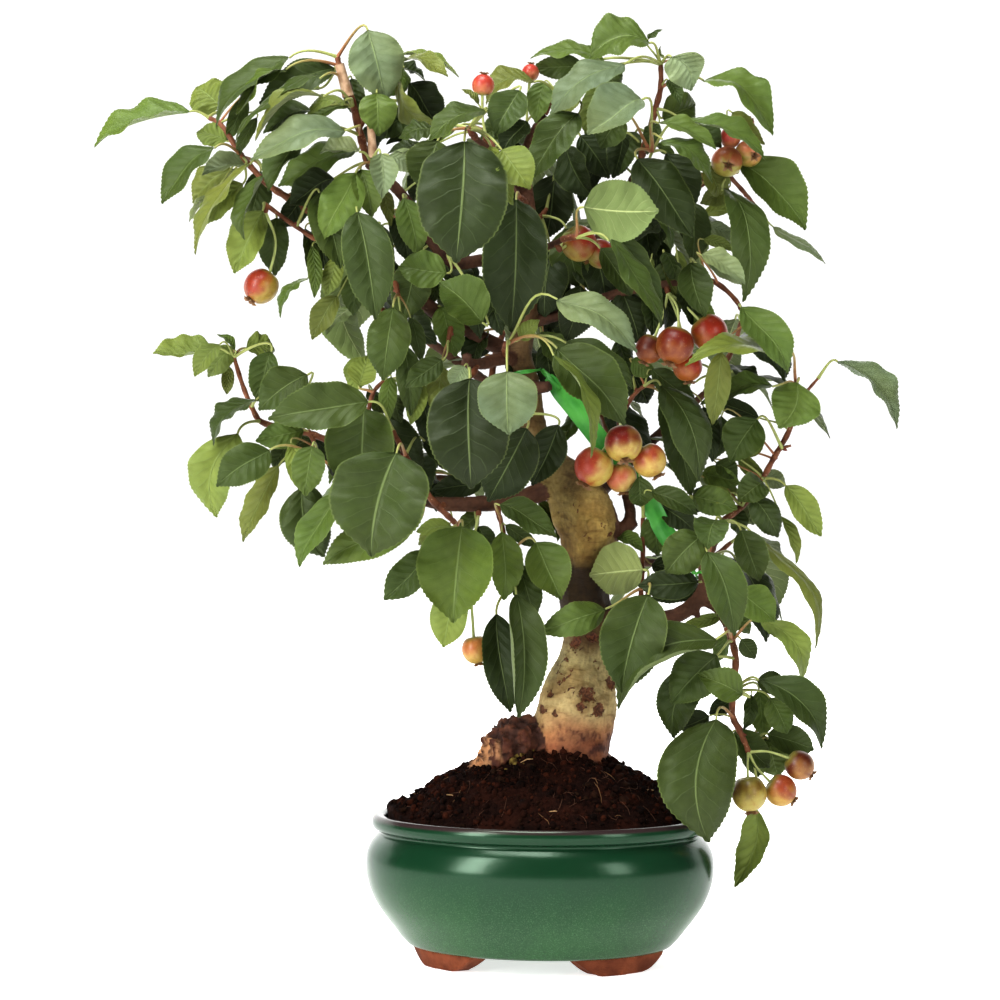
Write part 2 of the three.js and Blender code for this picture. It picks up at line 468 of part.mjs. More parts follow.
    leaves: [
      [111, 207, 131, 190, 20, 14, -26, -2], [123, 190, 146, 155, 17, 30, -16, -2, 0.18],
      [98, 180, 42.5, 141, 32, 36, -54, -6, 0.16], [98, 135, 94, 66, 41, 5, -50, -6, 0.1],
      [90, 165, 74, 124, 22, 8, -28, 4], [98.5, 171, 72.5, 144, 26, 12, -40, 0],
      [113, 149, 88, 161, 18, 14, -50, -2], [122, 157, 156.5, 118, 22, 28, -30, -2, 0.2],
      [122, 152, 124, 125, 15, 8, -2, 2], [128, 147, 138, 127, 15, 10, -18, 0],
      [127, 127, 153, 118, 16, 12, -8, 2], [127, 124, 133, 103, 20, 8, 0, 2],
      [121, 128, 121, 103, 20, 8, 8, 2], [120, 86, 108.5, 41, 18, 38, 0, -2]] },
];

// Bunches of fruit: each row is [x, z, depth, radius, then the way its eye points: right, up, back].
const BUNCHES = [
  { name: 'fruit_left', on: 'spray_left_twig', root: [-154, 423, -36.8], knob: [-155, 415, -38],
    fruits: [[-156.5, 378, -42, 9.5, -0.6, -0.8, -0.2]] },
  { name: 'fruit_crown_left', root: [-31, 456, -40.5], knob: [-31, 466, -44],
    fruits: [[-32.5, 490, -46, 6, 0.1, 1, -0.1]] },
  { name: 'fruit_crown_top', root: [-6, 460, 1], knob: [-9, 470, 2],
    fruits: [[-6, 497, 4, 5, 0.1, 1, 0]] },
  { name: 'fruit_right_crown', root: [88, 434, 10.6], knob: [92, 444, 9],
    fruits: [[104, 447.5, -14, 8.6, 0, -0.4, -1], [116, 452, -8, 7.5, 0.4, -0.3, -1],
      [106, 461, -6, 6, 0.2, 0.5, -1], [114, 467, 0, 5.5, 0.5, 0.6, -0.6]] },
  { name: 'fruit_rosette', root: [8, 402, -36], knob: [12, 396, -34],
    fruits: [[21, 402, -24, 10, 0.6, -0.8, 0.3], [33, 396, -20, 8, 0.8, -0.6, 0]] },
  { name: 'fruit_right_middle', root: [70, 378.4, -14.5], knob: [72, 370, -20],
    fruits: [[75, 345, -34, 10.3, -0.3, -1, -0.2], [94, 352, -26, 10, 0.6, -0.8, -0.1],
      [82, 333, -22, 8.2, 0.1, -1, 0], [61, 343, -24, 8, -0.4, -0.9, 0]] },
  { name: 'fruit_centre', root: [45.3, 292, 4], knob: [44, 303, -6],
    fruits: [[46, 290, -32, 10.2, 0.1, -1, -0.5], [29.7, 277, -26, 10.8, -0.5, -0.9, -0.1],
      [60.5, 280.5, -24, 9.3, 0.5, -0.9, 0], [45, 271, -20, 8.4, 0.1, -1, 0]] },
  { name: 'fruit_low_left', root: [-35, 256.2, -17.4], knob: [-35, 233, -27],
    fruits: [[-36.6, 174.6, -32, 7.8, 0.2, -1, 0]] },
  { name: 'fruit_lower_right', on: 'spray_lower_right', root: [115, 120, -19.9], knob: [118, 112, -23],
    fruits: [[116.5, 94, -34, 9.8, 0.1, -1, 0], [134, 95.6, -28, 8.6, 0.8, -0.6, 0],
      [144.5, 109.6, -26, 8.2, 0.8, -0.6, 0]] },
];

// Sprays at the back and the sides, whose leaves stand round the stem by the rule in aroundLeaves.
const FILLING = [
  { name: 'spray_back_left', root: [-86, 362, 80],
    stems: [[[-96, 370, 88, 2], [-112, 380, 98, 1.6], [-128, 384, 106, 1.2]]], count: 4 },
  { name: 'spray_back_left_low', root: [-58, 270, 56],
    stems: [[[-68, 272, 64, 2], [-82, 280, 76, 1.6], [-92, 292, 84, 1.2]]], count: 4 },
  { name: 'spray_back_right', root: [92, 318, 84],
    stems: [[[99, 328, 90, 2], [108, 344, 98, 1.6], [112, 358, 104, 1.2]]], count: 4 },
  { name: 'spray_back_top', root: [-22, 446, 62],
    stems: [[[-26, 454, 71, 2], [-32, 464, 84, 1.6], [-40, 468, 96, 1.2]]], count: 4 },
  { name: 'spray_back_low', root: [76, 222, 58],
    stems: [[[84, 222, 66, 2], [96, 226, 78, 1.6], [106, 234, 88, 1.2]]], count: 4 },
  { name: 'spray_back_middle', root: [-28, 322, 34],
    stems: [[[-26, 338, 46, 2], [-20, 354, 60, 1.6], [-14, 366, 74, 1.2]]], count: 4 },
  { name: 'spray_back_centre', root: [46, 276, 40],
    stems: [[[40, 290, 54, 2], [34, 306, 70, 1.6], [32, 318, 84, 1.2]]], count: 4 },
  { name: 'spray_back_crown', root: [46, 413, 13],
    stems: [[[50, 416, 30, 2], [58, 418, 46, 1.6], [68, 420, 60, 1.2]]], count: 4 },
  { name: 'spray_back_knee', root: [-64, 369, -9.3],
    stems: [[[-66, 384, 6, 1.8], [-74, 404, 22, 1.5], [-84, 418, 38, 1.2]]], count: 4 },
];

// ---------------------------------------------------------------- leaves

// A leaf from its row on the elevation.
function drawnLeaf([x, z, tipX, tipZ, width, turn, y, lean, bow = BLADE.bow]) {
  const run = new THREE.Vector3(tipX - x, 0, tipZ - z).normalize();
  const outward = run.x < 0 ? new THREE.Vector3(run.z, 0, -run.x) : new THREE.Vector3(-run.z, 0, run.x);
  const angle = THREE.MathUtils.degToRad(turn);
  const normal = new THREE.Vector3(0, -Math.cos(angle), 0).addScaledVector(outward, Math.sin(angle));
  return { base: spot(x, z, y), tip: spot(tipX, tipZ, y + lean), normal, width, bow };
}

// Park and Miller's generator, from 0 to 1.
function randomFrom(seed) {
  let state = seed;
  return () => {
    state = (state * 16807) % 2147483647;
    return state / 2147483647;
  };
}

// Leaves set round a stem by the golden angle, each hanging outward and down from its petiole.
function aroundLeaves(stem, count, seed) {
  const random = randomFrom(seed);
  const curve = new THREE.CatmullRomCurve3(stem, false, 'centripetal');
  const leaves = [];
  for (let i = 0; i < count; i += 1) {
    const node = curve.getPoint(0.25 + 0.75 * (i / (count - 1)));
    const angle = i * 2.4 + random() * 0.8;
    const out = new THREE.Vector3(Math.cos(angle), Math.sin(angle), 0);
    const length = 46 + 16 * random();
    const droop = 0.5 + 0.5 * random();
    const base = node.clone().addScaledVector(out, 17 + 6 * random());
    base.z += 5 - 8 * random();
    const tip = base.clone().addScaledVector(out, length * Math.cos(droop));
    tip.z -= length * Math.sin(droop);
    const normal = out.clone().multiplyScalar(Math.sin(droop));
    normal.z = Math.cos(droop);
    leaves.push({ base, tip, normal, width: 24 + 8 * random(), bow: 0.14 });
  }
  return leaves;
}

// The leaf as it lies after sliding along the line of sight and rolling about its midrib.
function shifted(leaf, depth, lean, roll) {
  const base = slide(leaf.base, depth);
  const tip = slide(leaf.tip, depth + lean);
  const along = tip.clone().sub(base).normalize();
  const normal = leaf.normal.clone().addScaledVector(along, -leaf.normal.dot(along)).normalize()
    .applyAxisAngle(along, THREE.MathUtils.degToRad(roll));
  return { ...leaf, base, tip, normal };
}

// The slides, leans and rolls that a leaf tries in turn until it lies free.
function* tries(leaf) {
  for (const depth of [0, -5, 5, -10, 10, -15, 15, -20, 20, -26, 26]) {
    for (const [lean, roll] of [[0, 0], [-7, 0], [7, 0], [0, 14], [0, -14], [-13, 8], [13, -8]]) {
      yield shifted(leaf, depth, lean, roll);
    }
  }
}

// Points of a blade: u runs from foot to tip, across to its right, and lift along its upper normal.
function bladeFrame({ base, tip, normal, width, bow }) {
  const along = tip.clone().sub(base);
  const length = along.length();
  along.normalize();
  const right = along.clone().cross(normal);
  const phase = base.x * 0.7 + base.z * 0.3;
  const at = (u, across, lift) => base.clone().addScaledVector(along, u * length)
    .addScaledVector(right, across).addScaledVector(normal, lift + bow * length * 4 * u * (1 - u));
  const edge = (u, share, side, grow) => {
    const reach = share * width / 2;
    const wave = BLADE.wave * width * Math.sin(9 * u + phase + side);
    return at(u, side * (reach + grow), BLADE.fold * reach + wave * share);
  };
  return { at, edge, along, right };
}

function bladeShape(width) {
  return [LARGE, MEDIUM].find((shape) => width >= shape.from);
}

// Three points round a petiole: left, right and below, in the blade's own directions turned to its run.
function petioleRing(leaf, { along, right }, centre, run, radius) {
  const turn = new THREE.Quaternion().setFromUnitVectors(along, run);
  const across = right.clone().applyQuaternion(turn).multiplyScalar(radius);
  const up = leaf.normal.clone().applyQuaternion(turn).multiplyScalar(radius);
  return [[-0.9, 0.4], [0.9, 0.4], [0, -1]].map(([x, y]) => (
    centre.clone().addScaledVector(across, x).addScaledVector(up, y)));
}

// The petiole's rings from its node on the stem to the blade's foot. It rises a little, then bends over.
function petioleRings(leaf, frame, node, grow) {
  const foot = petioleRing(leaf, frame, leaf.base, frame.along, PETIOLE.end + grow);
  if (!node) return [foot];
  const reach = node.distanceTo(leaf.base);
  const rising = node.clone().lerp(leaf.base, 0.35);
  rising.z += 0.14 * reach;
  const bending = leaf.base.clone().addScaledVector(frame.along, -0.35 * reach);
  const middle = rising.clone().lerp(bending, 0.5);
  const run = (from, to) => to.clone().sub(from).normalize();
  const first = petioleRing(leaf, frame, node, run(node, middle), PETIOLE.foot + grow);
  if (reach < PETIOLE.straight) return [first, foot];
  return [first, petioleRing(leaf, frame, middle, run(node, leaf.base), PETIOLE.middle + grow), foot];
}

// A leaf as one closed body: a three-sided petiole and a thin arched blade, whose faces meet along the
// outline and which is thickest along the midrib. With no node it is the blade alone.
function leafSolid(leaf, node, grow = 0) {
  const shape = bladeShape(leaf.width);
  const frame = bladeFrame(leaf);
  const points = petioleRings(leaf, frame, node, grow).flat();
  const left = points.length - 3;
  const ends = [left, left + 1, left + 2];
  const index = [0, 2, 1];
  for (let start = 0; start < left; start += 3) {
    for (let i = 0; i < 3; i += 1) {
      const [a, b] = [start + i, start + (i + 1) % 3];
      index.push(a, b, b + 3, a, b + 3, a + 3);
    }
  }
  const tip = points.push(frame.at(1 + grow / leaf.tip.distanceTo(leaf.base), 0, 0)) - 1;
  const chain = (foot, us, point) => {
    const found = us.map((u, i) => ({ u, index: points.push(point(u, i)) - 1 }));
    return [{ u: 0, index: foot }, ...found, { u: 1, index: tip }];
  };
  const outlines = [-1, 1].map((side) => chain(side < 0 ? ends[0] : ends[1], shape.edge.map(([u]) => u),
    (u, i) => frame.edge(u, shape.edge[i][1], side, grow)));
  const half = BLADE.rib / 2 + grow;
  const above = chain(ends[0], shape.rib, (u) => frame.at(u, 0, half));
  const below = chain(ends[2], shape.rib, (u) => frame.at(u, 0, -half));
  stitch(index, above, outlines[0], false);
  stitch(index, [{ u: 0, index: ends[1] }, ...above.slice(1)], outlines[1], true);
  stitch(index, below, outlines[0], true);
  stitch(index, below, outlines[1], false);
  index.push(ends[0], ends[1], above[1].index);
  const geometry = new THREE.BufferGeometry().setFromPoints(points);
  geometry.setIndex(index);
  return solid(geometry);
}

// Fills the strip between a rib and an outline, always stepping the chain that lags.
function stitch(index, rib, outline, reversed) {
  let i = 0;
  let j = 0;
  while (i < rib.length - 1 || j < outline.length - 1) {
    const stepRib = j === outline.length - 1 || (i < rib.length - 1 && rib[i + 1].u <= outline[j + 1].u);
    const third = stepRib ? rib[i + 1] : outline[j + 1];
    const triangle = [rib[i].index, third.index, outline[j].index];
    if (reversed) triangle.reverse();
    if (new Set(triangle).size === 3) index.push(...triangle);
    if (stepRib) i += 1;
    else j += 1;
  }
}

// ---------------------------------------------------------------- fruit

// A crabapple with its stalk dimple on top and the dried eye of the flower below.
function appleSolid(centre, radius, eye) {
  const profile = [[0, -0.98], [0.28, -1.08], [0.8, -0.62], [1.02, 0.04], [0.66, 0.78], [0, 0.8]];
  const geometry = new THREE.LatheGeometry(
    profile.map(([r, h]) => new THREE.Vector2(r * radius, h * radius)), 6);
  const upright = new THREE.Quaternion().setFromUnitVectors(new THREE.Vector3(0, -1, 0), eye);
  geometry.applyQuaternion(upright).translate(centre.x, centre.y, centre.z);
  return solid(geometry);
}

function bunchSolids(bunch) {
  const { start, ahead } = bunch.seat;
  const head = start.clone().addScaledVector(ahead, 3);
  const solids = [limbSolid([start, head], [1.5, 1.2], 4)];
  for (const [x, z, y, radius, right, up, back] of bunch.fruits) {
    const centre = spot(x, z, y);
    const eye = new THREE.Vector3(right, back, up).normalize();
    const dimple = centre.clone().addScaledVector(eye, -0.7 * radius);
    const above = dimple.clone().addScaledVector(eye, -0.35 * dimple.distanceTo(head));
    const middle = head.clone().lerp(above, 0.6);
    solids.push(limbSolid([head.clone().addScaledVector(ahead, -1), middle, dimple], [0.9, 0.7, 0.8], 3));
    solids.push(appleSolid(centre, radius, eye));
  }
  return solids;
}

// ---------------------------------------------------------------- where a spray or bunch is seated

// The place just off the wood where a stem starts that leaves it at a root, and the way it goes.
function seatOn(wood, root, toward, radius) {
  const from = spot(...root);
  const ahead = toward.clone().sub(from).normalize();
  const aside = new THREE.Vector3(0, 0, 1).cross(ahead).normalize();
  const back = ahead.clone().negate();
  let reach = 0;
  for (let i = 0; i < 9; i += 1) {
    const aslant = aside.clone().applyAxisAngle(ahead, i * Math.PI / 4);
    const eyePoint = toward.clone().addScaledVector(aslant, i < 8 ? 1.15 * radius : 0);
    const [hit] = new THREE.Raycaster(eyePoint, back).intersectObject(wood);
    if (hit) reach = Math.max(reach, from.distanceTo(toward) - hit.distance);
  }
  return { start: from.addScaledVector(ahead, reach + GAP), ahead };
}

function prepareSpray(spray, wood) {
  const [first, ...others] = spray.stems.map((rows) => rows.map(([x, z, y]) => spot(x, z, y)));
  const radii = spray.stems.map((rows) => rows.map((row) => row[3]));
  const { start } = seatOn(wood, spray.root, first[0], radii[0][0]);
  const main = [start, ...first];
  const stems = [limbSolid(main, [radii[0][0], ...radii[0]], 3),
    ...others.map((points, i) => limbSolid(points, radii[i + 1], 3))];
  const leaves = spray.leaves?.map(drawnLeaf) ?? aroundLeaves(main, spray.count, spray.root[1]);
  return { ...spray, stems, nodes: [main.slice(1), ...others].flat(), leaves };
}

// ---------------------------------------------------------------- fitting the foliage together

function boxed(owner, body) {
  const { min, max } = body.boundingBox();
  return { owner, body, box: new THREE.Box3(new THREE.Vector3(...min), new THREE.Vector3(...max)) };
}

function crosses(body, placed) {
  const { box } = boxed(null, body);
  return placed.some((other) => {
    if (!box.intersectsBox(other.box)) return false;
    const shared = body.intersect(other.body);
    const hit = !shared.isEmpty();
    shared.delete();
    return hit;
  });
}

// Lays each leaf where it is clear of all other pieces. One that finds no free place is left out.
function fitLeaves(sprays, placed) {
  const fitted = new Map(sprays.map((spray) => [spray.name, []]));
  for (const spray of sprays) {
    const others = placed.filter((piece) => piece.owner !== spray.name);
    const own = placed.filter((piece) => piece.owner === spray.name);
    for (const leaf of spray.leaves) {
      const node = spray.nodes.reduce((near, point) => (
        point.distanceTo(leaf.base) < near.distanceTo(leaf.base) ? point : near));
      for (const laid of tries(leaf)) {
        const blade = leafSolid(laid, null, CLEARANCE);
        const whole = leafSolid(laid, node, CLEARANCE);
        const free = !crosses(whole, others) && !crosses(blade, own);
        blade.delete();
        whole.delete();
        if (!free) continue;
        const leafBody = leafSolid(laid, node);
        placed.push(boxed(spray.name, leafBody));
        own.push(boxed(spray.name, leafSolid(laid, null)));
        fitted.get(spray.name).push(leafBody);
        break;
      }
    }
  }
  return fitted;
}

// ---------------------------------------------------------------- tie

// The green strip: a loop round the upper trunk, the taut run, and a loop round the lower right limb, with
// the strip twisted narrow where it joins each loop.
function tieSolid() {
  const { width, thickness, gathered } = STRIP;
  const loop = (at, axis, inner) => {
    const outline = [[inner, -gathered / 2], [inner + thickness, -gathered / 2],
      [inner + thickness, gathered / 2], [inner, gathered / 2], [inner, -gathered / 2]];
    const ring = new THREE.LatheGeometry(outline.map(([r, h]) => new THREE.Vector2(r, h)), 10);
    ring.applyQuaternion(new THREE.Quaternion().setFromUnitVectors(new THREE.Vector3(0, 1, 0), axis));
    return solid(ring.translate(at.x, at.y, at.z));
  };
  const top = spot(-9.9, 329.2, 0);
  const topAxis = spot(-12, 338, 0).sub(spot(-8, 320, 0)).normalize();
  const foot = spot(91.8, 216, -10);
  const footAxis = spot(91.5, 222, -8).sub(spot(92, 210, -12)).normalize();
  const route = [[4, 327, -5], [16, 313, -7], [33, 291.5, -9], [46, 275, -10], [59, 259, -11],
    [70, 239, -12], [80, 226, -12]].map(([x, z, y]) => spot(x, z, y));
  const twists = [
    [[0.4, 331.3, 0, 1.2], [5, 326, -5.4, 1.4]],
    [[86, 216.5, -10.5, 1.2], [79.5, 226.7, -12, 1.4]],
  ];
  const section = new THREE.Shape([[-thickness, -width], [thickness, -width], [thickness, width],
    [-thickness, width]].map(([x, y]) => new THREE.Vector2(x / 2, y / 2)));
  const run = new THREE.ExtrudeGeometry(section, {
    steps: 8, bevelEnabled: false, extrudePath: new THREE.CatmullRomCurve3(route, false, 'centripetal') });
  const ends = twists.map((rows) => drawnLimb(rows, 4));
  return joined([loop(top, topAxis, 9.6), loop(foot, footAxis, 4.7), solid(run), ...ends]);
}

// ---------------------------------------------------------------- the whole plant

const woodBodies = [...trunkSolids(), ...branchSolids()];
const wood = meshOf('tree', joined(woodBodies), '#8f7455', 0.85);
const tie = tieSolid();
const sprays = [...SPRAYS, ...FILLING].map((spray) => prepareSpray(spray, wood));
const leafGreen = '#4b6b38';
const carriers = new Map(sprays.map(({ name, stems }) => (
  [name, meshOf(name, joined(stems), leafGreen, 0.6)])));
const bunches = BUNCHES.map((bunch) => {
  const seat = seatOn(carriers.get(bunch.on) ?? wood, bunch.root, spot(...bunch.knob), 1.5);
  return { name: bunch.name, bodies: bunchSolids({ ...bunch, seat }) };
});

const placed = [...woodBodies.map((body) => boxed('tree', body)), boxed('branch_tie', tie)];
for (const { name, bodies } of bunches) placed.push(...bodies.map((body) => boxed(name, body)));
for (const { name, stems } of sprays) placed.push(...stems.map((body) => boxed(name, body)));
const fitted = fitLeaves(sprays, placed);

const plant = new THREE.Group();
plant.add(meshOf('pot', potSolid(), '#2f6e50', 0.18));
plant.add(meshOf('drain_mesh_left', drainMeshSolid(-1), '#23262a', 0.6));
plant.add(meshOf('drain_mesh_right', drainMeshSolid(1), '#23262a', 0.6));
plant.add(meshOf('soil', soilSolid(joined(trunkSolids(GAP))), '#2c150d', 0.95));
plant.add(wood);
plant.add(meshOf('branch_tie', tie, '#35a852', 0.45));
for (const { name, bodies } of bunches) plant.add(meshOf(name, joined(bodies), '#c8542f', 0.35));
for (const { name, stems } of sprays) {
  plant.add(meshOf(name, joined([...stems, ...fitted.get(name)]), leafGreen, 0.6));
}

const bounds = new THREE.Box3().setFromObject(plant);
const centre = bounds.getCenter(new THREE.Vector3());
plant.position.set(-centre.x, -centre.y, -bounds.min.z);

export default plant;
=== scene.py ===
"""The finish and the fine forms of a crabapple bonsai in an oval glazed pot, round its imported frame."""
import math

import bmesh
import bpy
import numpy as np
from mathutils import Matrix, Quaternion, Vector, noise
from mathutils.bvhtree import BVHTree
from mathutils.kdtree import KDTree


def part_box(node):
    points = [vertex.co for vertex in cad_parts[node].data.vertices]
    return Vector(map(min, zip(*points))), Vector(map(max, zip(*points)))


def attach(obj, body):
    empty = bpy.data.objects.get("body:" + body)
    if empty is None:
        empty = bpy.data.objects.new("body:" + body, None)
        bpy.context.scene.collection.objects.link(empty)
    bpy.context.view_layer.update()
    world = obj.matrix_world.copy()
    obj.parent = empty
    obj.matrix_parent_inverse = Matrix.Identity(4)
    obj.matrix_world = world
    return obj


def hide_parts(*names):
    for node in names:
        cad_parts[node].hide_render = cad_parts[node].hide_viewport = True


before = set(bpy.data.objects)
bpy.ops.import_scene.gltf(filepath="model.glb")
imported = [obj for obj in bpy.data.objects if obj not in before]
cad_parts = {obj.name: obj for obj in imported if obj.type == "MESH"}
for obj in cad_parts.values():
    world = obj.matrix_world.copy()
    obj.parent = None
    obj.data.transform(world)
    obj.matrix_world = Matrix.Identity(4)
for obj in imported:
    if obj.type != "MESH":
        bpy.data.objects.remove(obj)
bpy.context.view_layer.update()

# ---- the pot's own frame, in millimetres

MM = 0.001
pot_low, pot_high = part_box("pot")
POT_PLACE = Vector(((pot_low.x + pot_high.x) / 2, (pot_low.y + pot_high.y) / 2, 0))

# The branches and leaves are laid out on a front elevation in perspective, drawn on the plane y = 0 as
# the eye sees them. spot(x, z, y) is the point that the eye sees at (x, z) and that lies at depth y.
EYE = Vector((-23, -1400, 258))


def slide(point, depth):
    share = 1 + depth / (point.y - EYE.y)
    return EYE + (point - EYE) * share


def spot(x, z, y=0.0):
    return slide(Vector((x, 0, z)), y)


def spots(rows):
    """The points of rows that begin with x, z and depth."""
    return [spot(*row[:3]) for row in rows]


def in_metres(point):
    return point * MM + POT_PLACE


def add_object(name, data):
    made = bpy.data.objects.new(name, data)
    bpy.context.scene.collection.objects.link(made)
    return made


def add_camera():
    camera = add_object("camera", bpy.data.cameras.new("camera"))
    camera.data.sensor_width = 36
    camera.data.lens = 90
    camera.data.clip_end = 50
    camera.location = in_metres(EYE)
    camera.rotation_euler = (math.radians(90), 0, 0)
    bpy.context.scene.camera = camera


add_camera()

POT = {"length": 194, "depth": 150, "turn": math.radians(-10), "foot": 10, "rim": 82}
MOUND = {"edge": 80, "crown": 33, "lumps": 1.4, "radius": 84}
BLADE = {"fold": 0.2, "wave": 0.045, "bow": 0.12}
# Corners of the frame's leaves: share of the length, and of the half-width.
LARGE_EDGE = [(0.09, 0.5), (0.27, 0.92), (0.48, 1), (0.7, 0.72), (0.87, 0.34)]
MEDIUM_EDGE = [(0.12, 0.58), (0.37, 1), (0.64, 0.82), (0.85, 0.38)]
LARGE_LEAF = 25  # a leaf at least this wide has the corners of a large one
SMALL_LEAF = 14  # a leaf at least this wide is also in the frame, and lies where it lies there
# Where a leaf may hang off its drawn place in the frame: how much deeper, and its lean and roll.
DEPTHS = (0, -5, 5, -10, 10, -15, 15, -20, 20, -26, 26)
TILTS = ((0, 0), (-7, 0), (7, 0), (0, 14), (0, -14), (-13, 8), (13, -8))
TOUCHING = 0.00003  # metres within which a leaf's corner is found in the frame
# The first seed of the random draws of each kind of piece.
SEEDS = {"soil": 21, "sprays": 100, "filling": 200, "bunches": 300, "inner": 400}

# ---- limbs, sprays and fruit
# Rows are laid out on the front elevation. Limb and stem rows are (x, z, depth, radius).

TRUNK = [
    (12, 90, 0, 25), (14.5, 108, 0, 23.5), (15.7, 121, 0, 22.5), (20, 146, -1, 21.6),
    (25, 168, -2, 16.3), (27, 185, -3, 13.8), (24.5, 203, -3, 13.6), (25.5, 225, -4, 14),
    (27, 242, -5, 17.5), (22.5, 255, -5, 17), (15, 267, -4, 13.5), (3.5, 279, -3, 11),
    (-6, 299, -1, 8.6), (-8, 320, 0, 7.6), (-12, 338, 0, 7), (-9, 360, 0, 6.4), (-5.5, 385, 0, 5.8),
    (-8, 420, 2, 4.8), (-9.5, 445, 2, 3.6), (-6, 460, 1, 2.8), (2, 474, 0, 2.2),
]
ROOT_LUMP = [
    (12, 106, 1, 19), (-6, 120, -3, 16.5), (-15, 121.5, -6, 15), (-24, 113, -8, 12), (-35, 99, -9, 8),
]
KNEE_ROOT = [
    (20, 112, 4, 16), (34, 104, 12, 11), (45, 94, 20, 6),
]
LIMBS = {
    "upper_left": [(-14, 339, 0, 6), (-30, 347, -3, 5.4), (-50, 358, -6, 5), (-60, 364, -8, 5.2),
        (-82, 382, -14, 4.8), (-112, 403, -20, 4), (-130, 419, -22, 3.2)],
    "top_left": [(-6, 386, 0, 4.8), (-30, 392, -10, 4.6), (-50, 391.5, -18, 4.8), (-65, 409, -22, 4.4),
        (-78, 429, -24, 4), (-97, 447, -24, 3.4)],
    "front_branch": [(-12, 337, 0, 5), (-22, 337, -12, 4.8), (-35, 334, -28, 4.4), (-43, 335, -38, 4)],
    "lower_left": [(10, 266, -4, 6), (-8, 260, -9, 5), (-23, 257, -14, 4.5), (-45, 255.5, -20, 4),
        (-66, 258, -22, 3.6), (-95, 278, -20, 3), (-118, 291, -18, 2.5)],
    "front_crown": [(-9, 430, 2, 3.6), (-24, 449, -28, 3), (-37, 461, -50, 2.4)],
    "top_right": [(-8, 368, 0, 5), (10, 384, 8, 4.6), (32, 404, 10, 4.2), (46, 428, 6, 3.4),
        (55, 446, 3, 2.6)],
    "right_crown": [(32, 404, 10, 3.4), (60, 421, 16, 3), (84, 432, 12, 2.6), (98, 439, 6, 2.2)],
    "right_middle": [(-9, 356, 1, 4.6), (18, 364, 2, 4), (44, 374, -8, 3.6), (66, 378, -14, 3.2),
        (84, 380, -16, 2.6)],
    "rosette": [(-6, 392, 0, 3.6), (0, 398, -18, 3.2), (6, 401, -32, 2.6), (12, 404, -42, 2.2)],
    "knee_twig": [(34, 240, -4, 6), (46, 241.5, -4, 4.6), (50, 248, -3, 3.4), (48, 262, 0, 2.8),
        (46, 284, 5, 2.2), (44, 303, 3, 1.9)],
    "lower_right": [(26, 192, -3, 7), (45, 194.5, -7, 5), (72, 192, -11, 4.4), (87, 201, -13, 4.2),
        (92, 210, -12, 4), (91.5, 222, -8, 3.4), (97, 236, -4, 2.8)],
    "lowest_right": [(88, 203, -13, 3.2), (99, 196, -16, 2.8), (104, 187, -17, 2.5)],
    "back_left": [(-6, 302, 3, 5), (-28, 322, 34, 4.2), (-60, 345, 62, 3.4), (-86, 362, 80, 2.6)],
    "back_right": [(24, 252, 6, 6), (46, 276, 40, 4.4), (72, 300, 68, 3.4), (92, 318, 84, 2.6)],
    "back_top": [(-8, 404, 2, 4), (-14, 428, 34, 3.4), (-22, 446, 62, 2.6)],
    "back_low": [(24, 228, 6, 5), (48, 224, 36, 3.8), (76, 222, 58, 2.8)],
    "back_side": [(6, 276, 4, 5), (-26, 270, 32, 4), (-58, 270, 56, 3)],
}
# Pruned stubs, each a short tapering peg.
STUBS = [
    [(-8, 322, -2, 4.2), (0, 321, -9, 3.6), (5, 322, -13, 3.2)],
    [(-41, 334, -36, 3.2), (-41.5, 339, -42, 2.8)],
    [(-96, 444, -24, 2.6), (-95, 455, -30, 2.4), (-95, 467, -31, 2.2)],
    [(-109, 286, -19, 2.4), (-112, 293, -24, 1.8)],
    [(86, 199, -13, 2.4), (88, 192, -16, 1.8)],
    [(50, 247, -3, 3), (53, 243, -6, 2.2)],
    [(28, 243, -16, 6.5), (31, 244, -24, 5)],
]
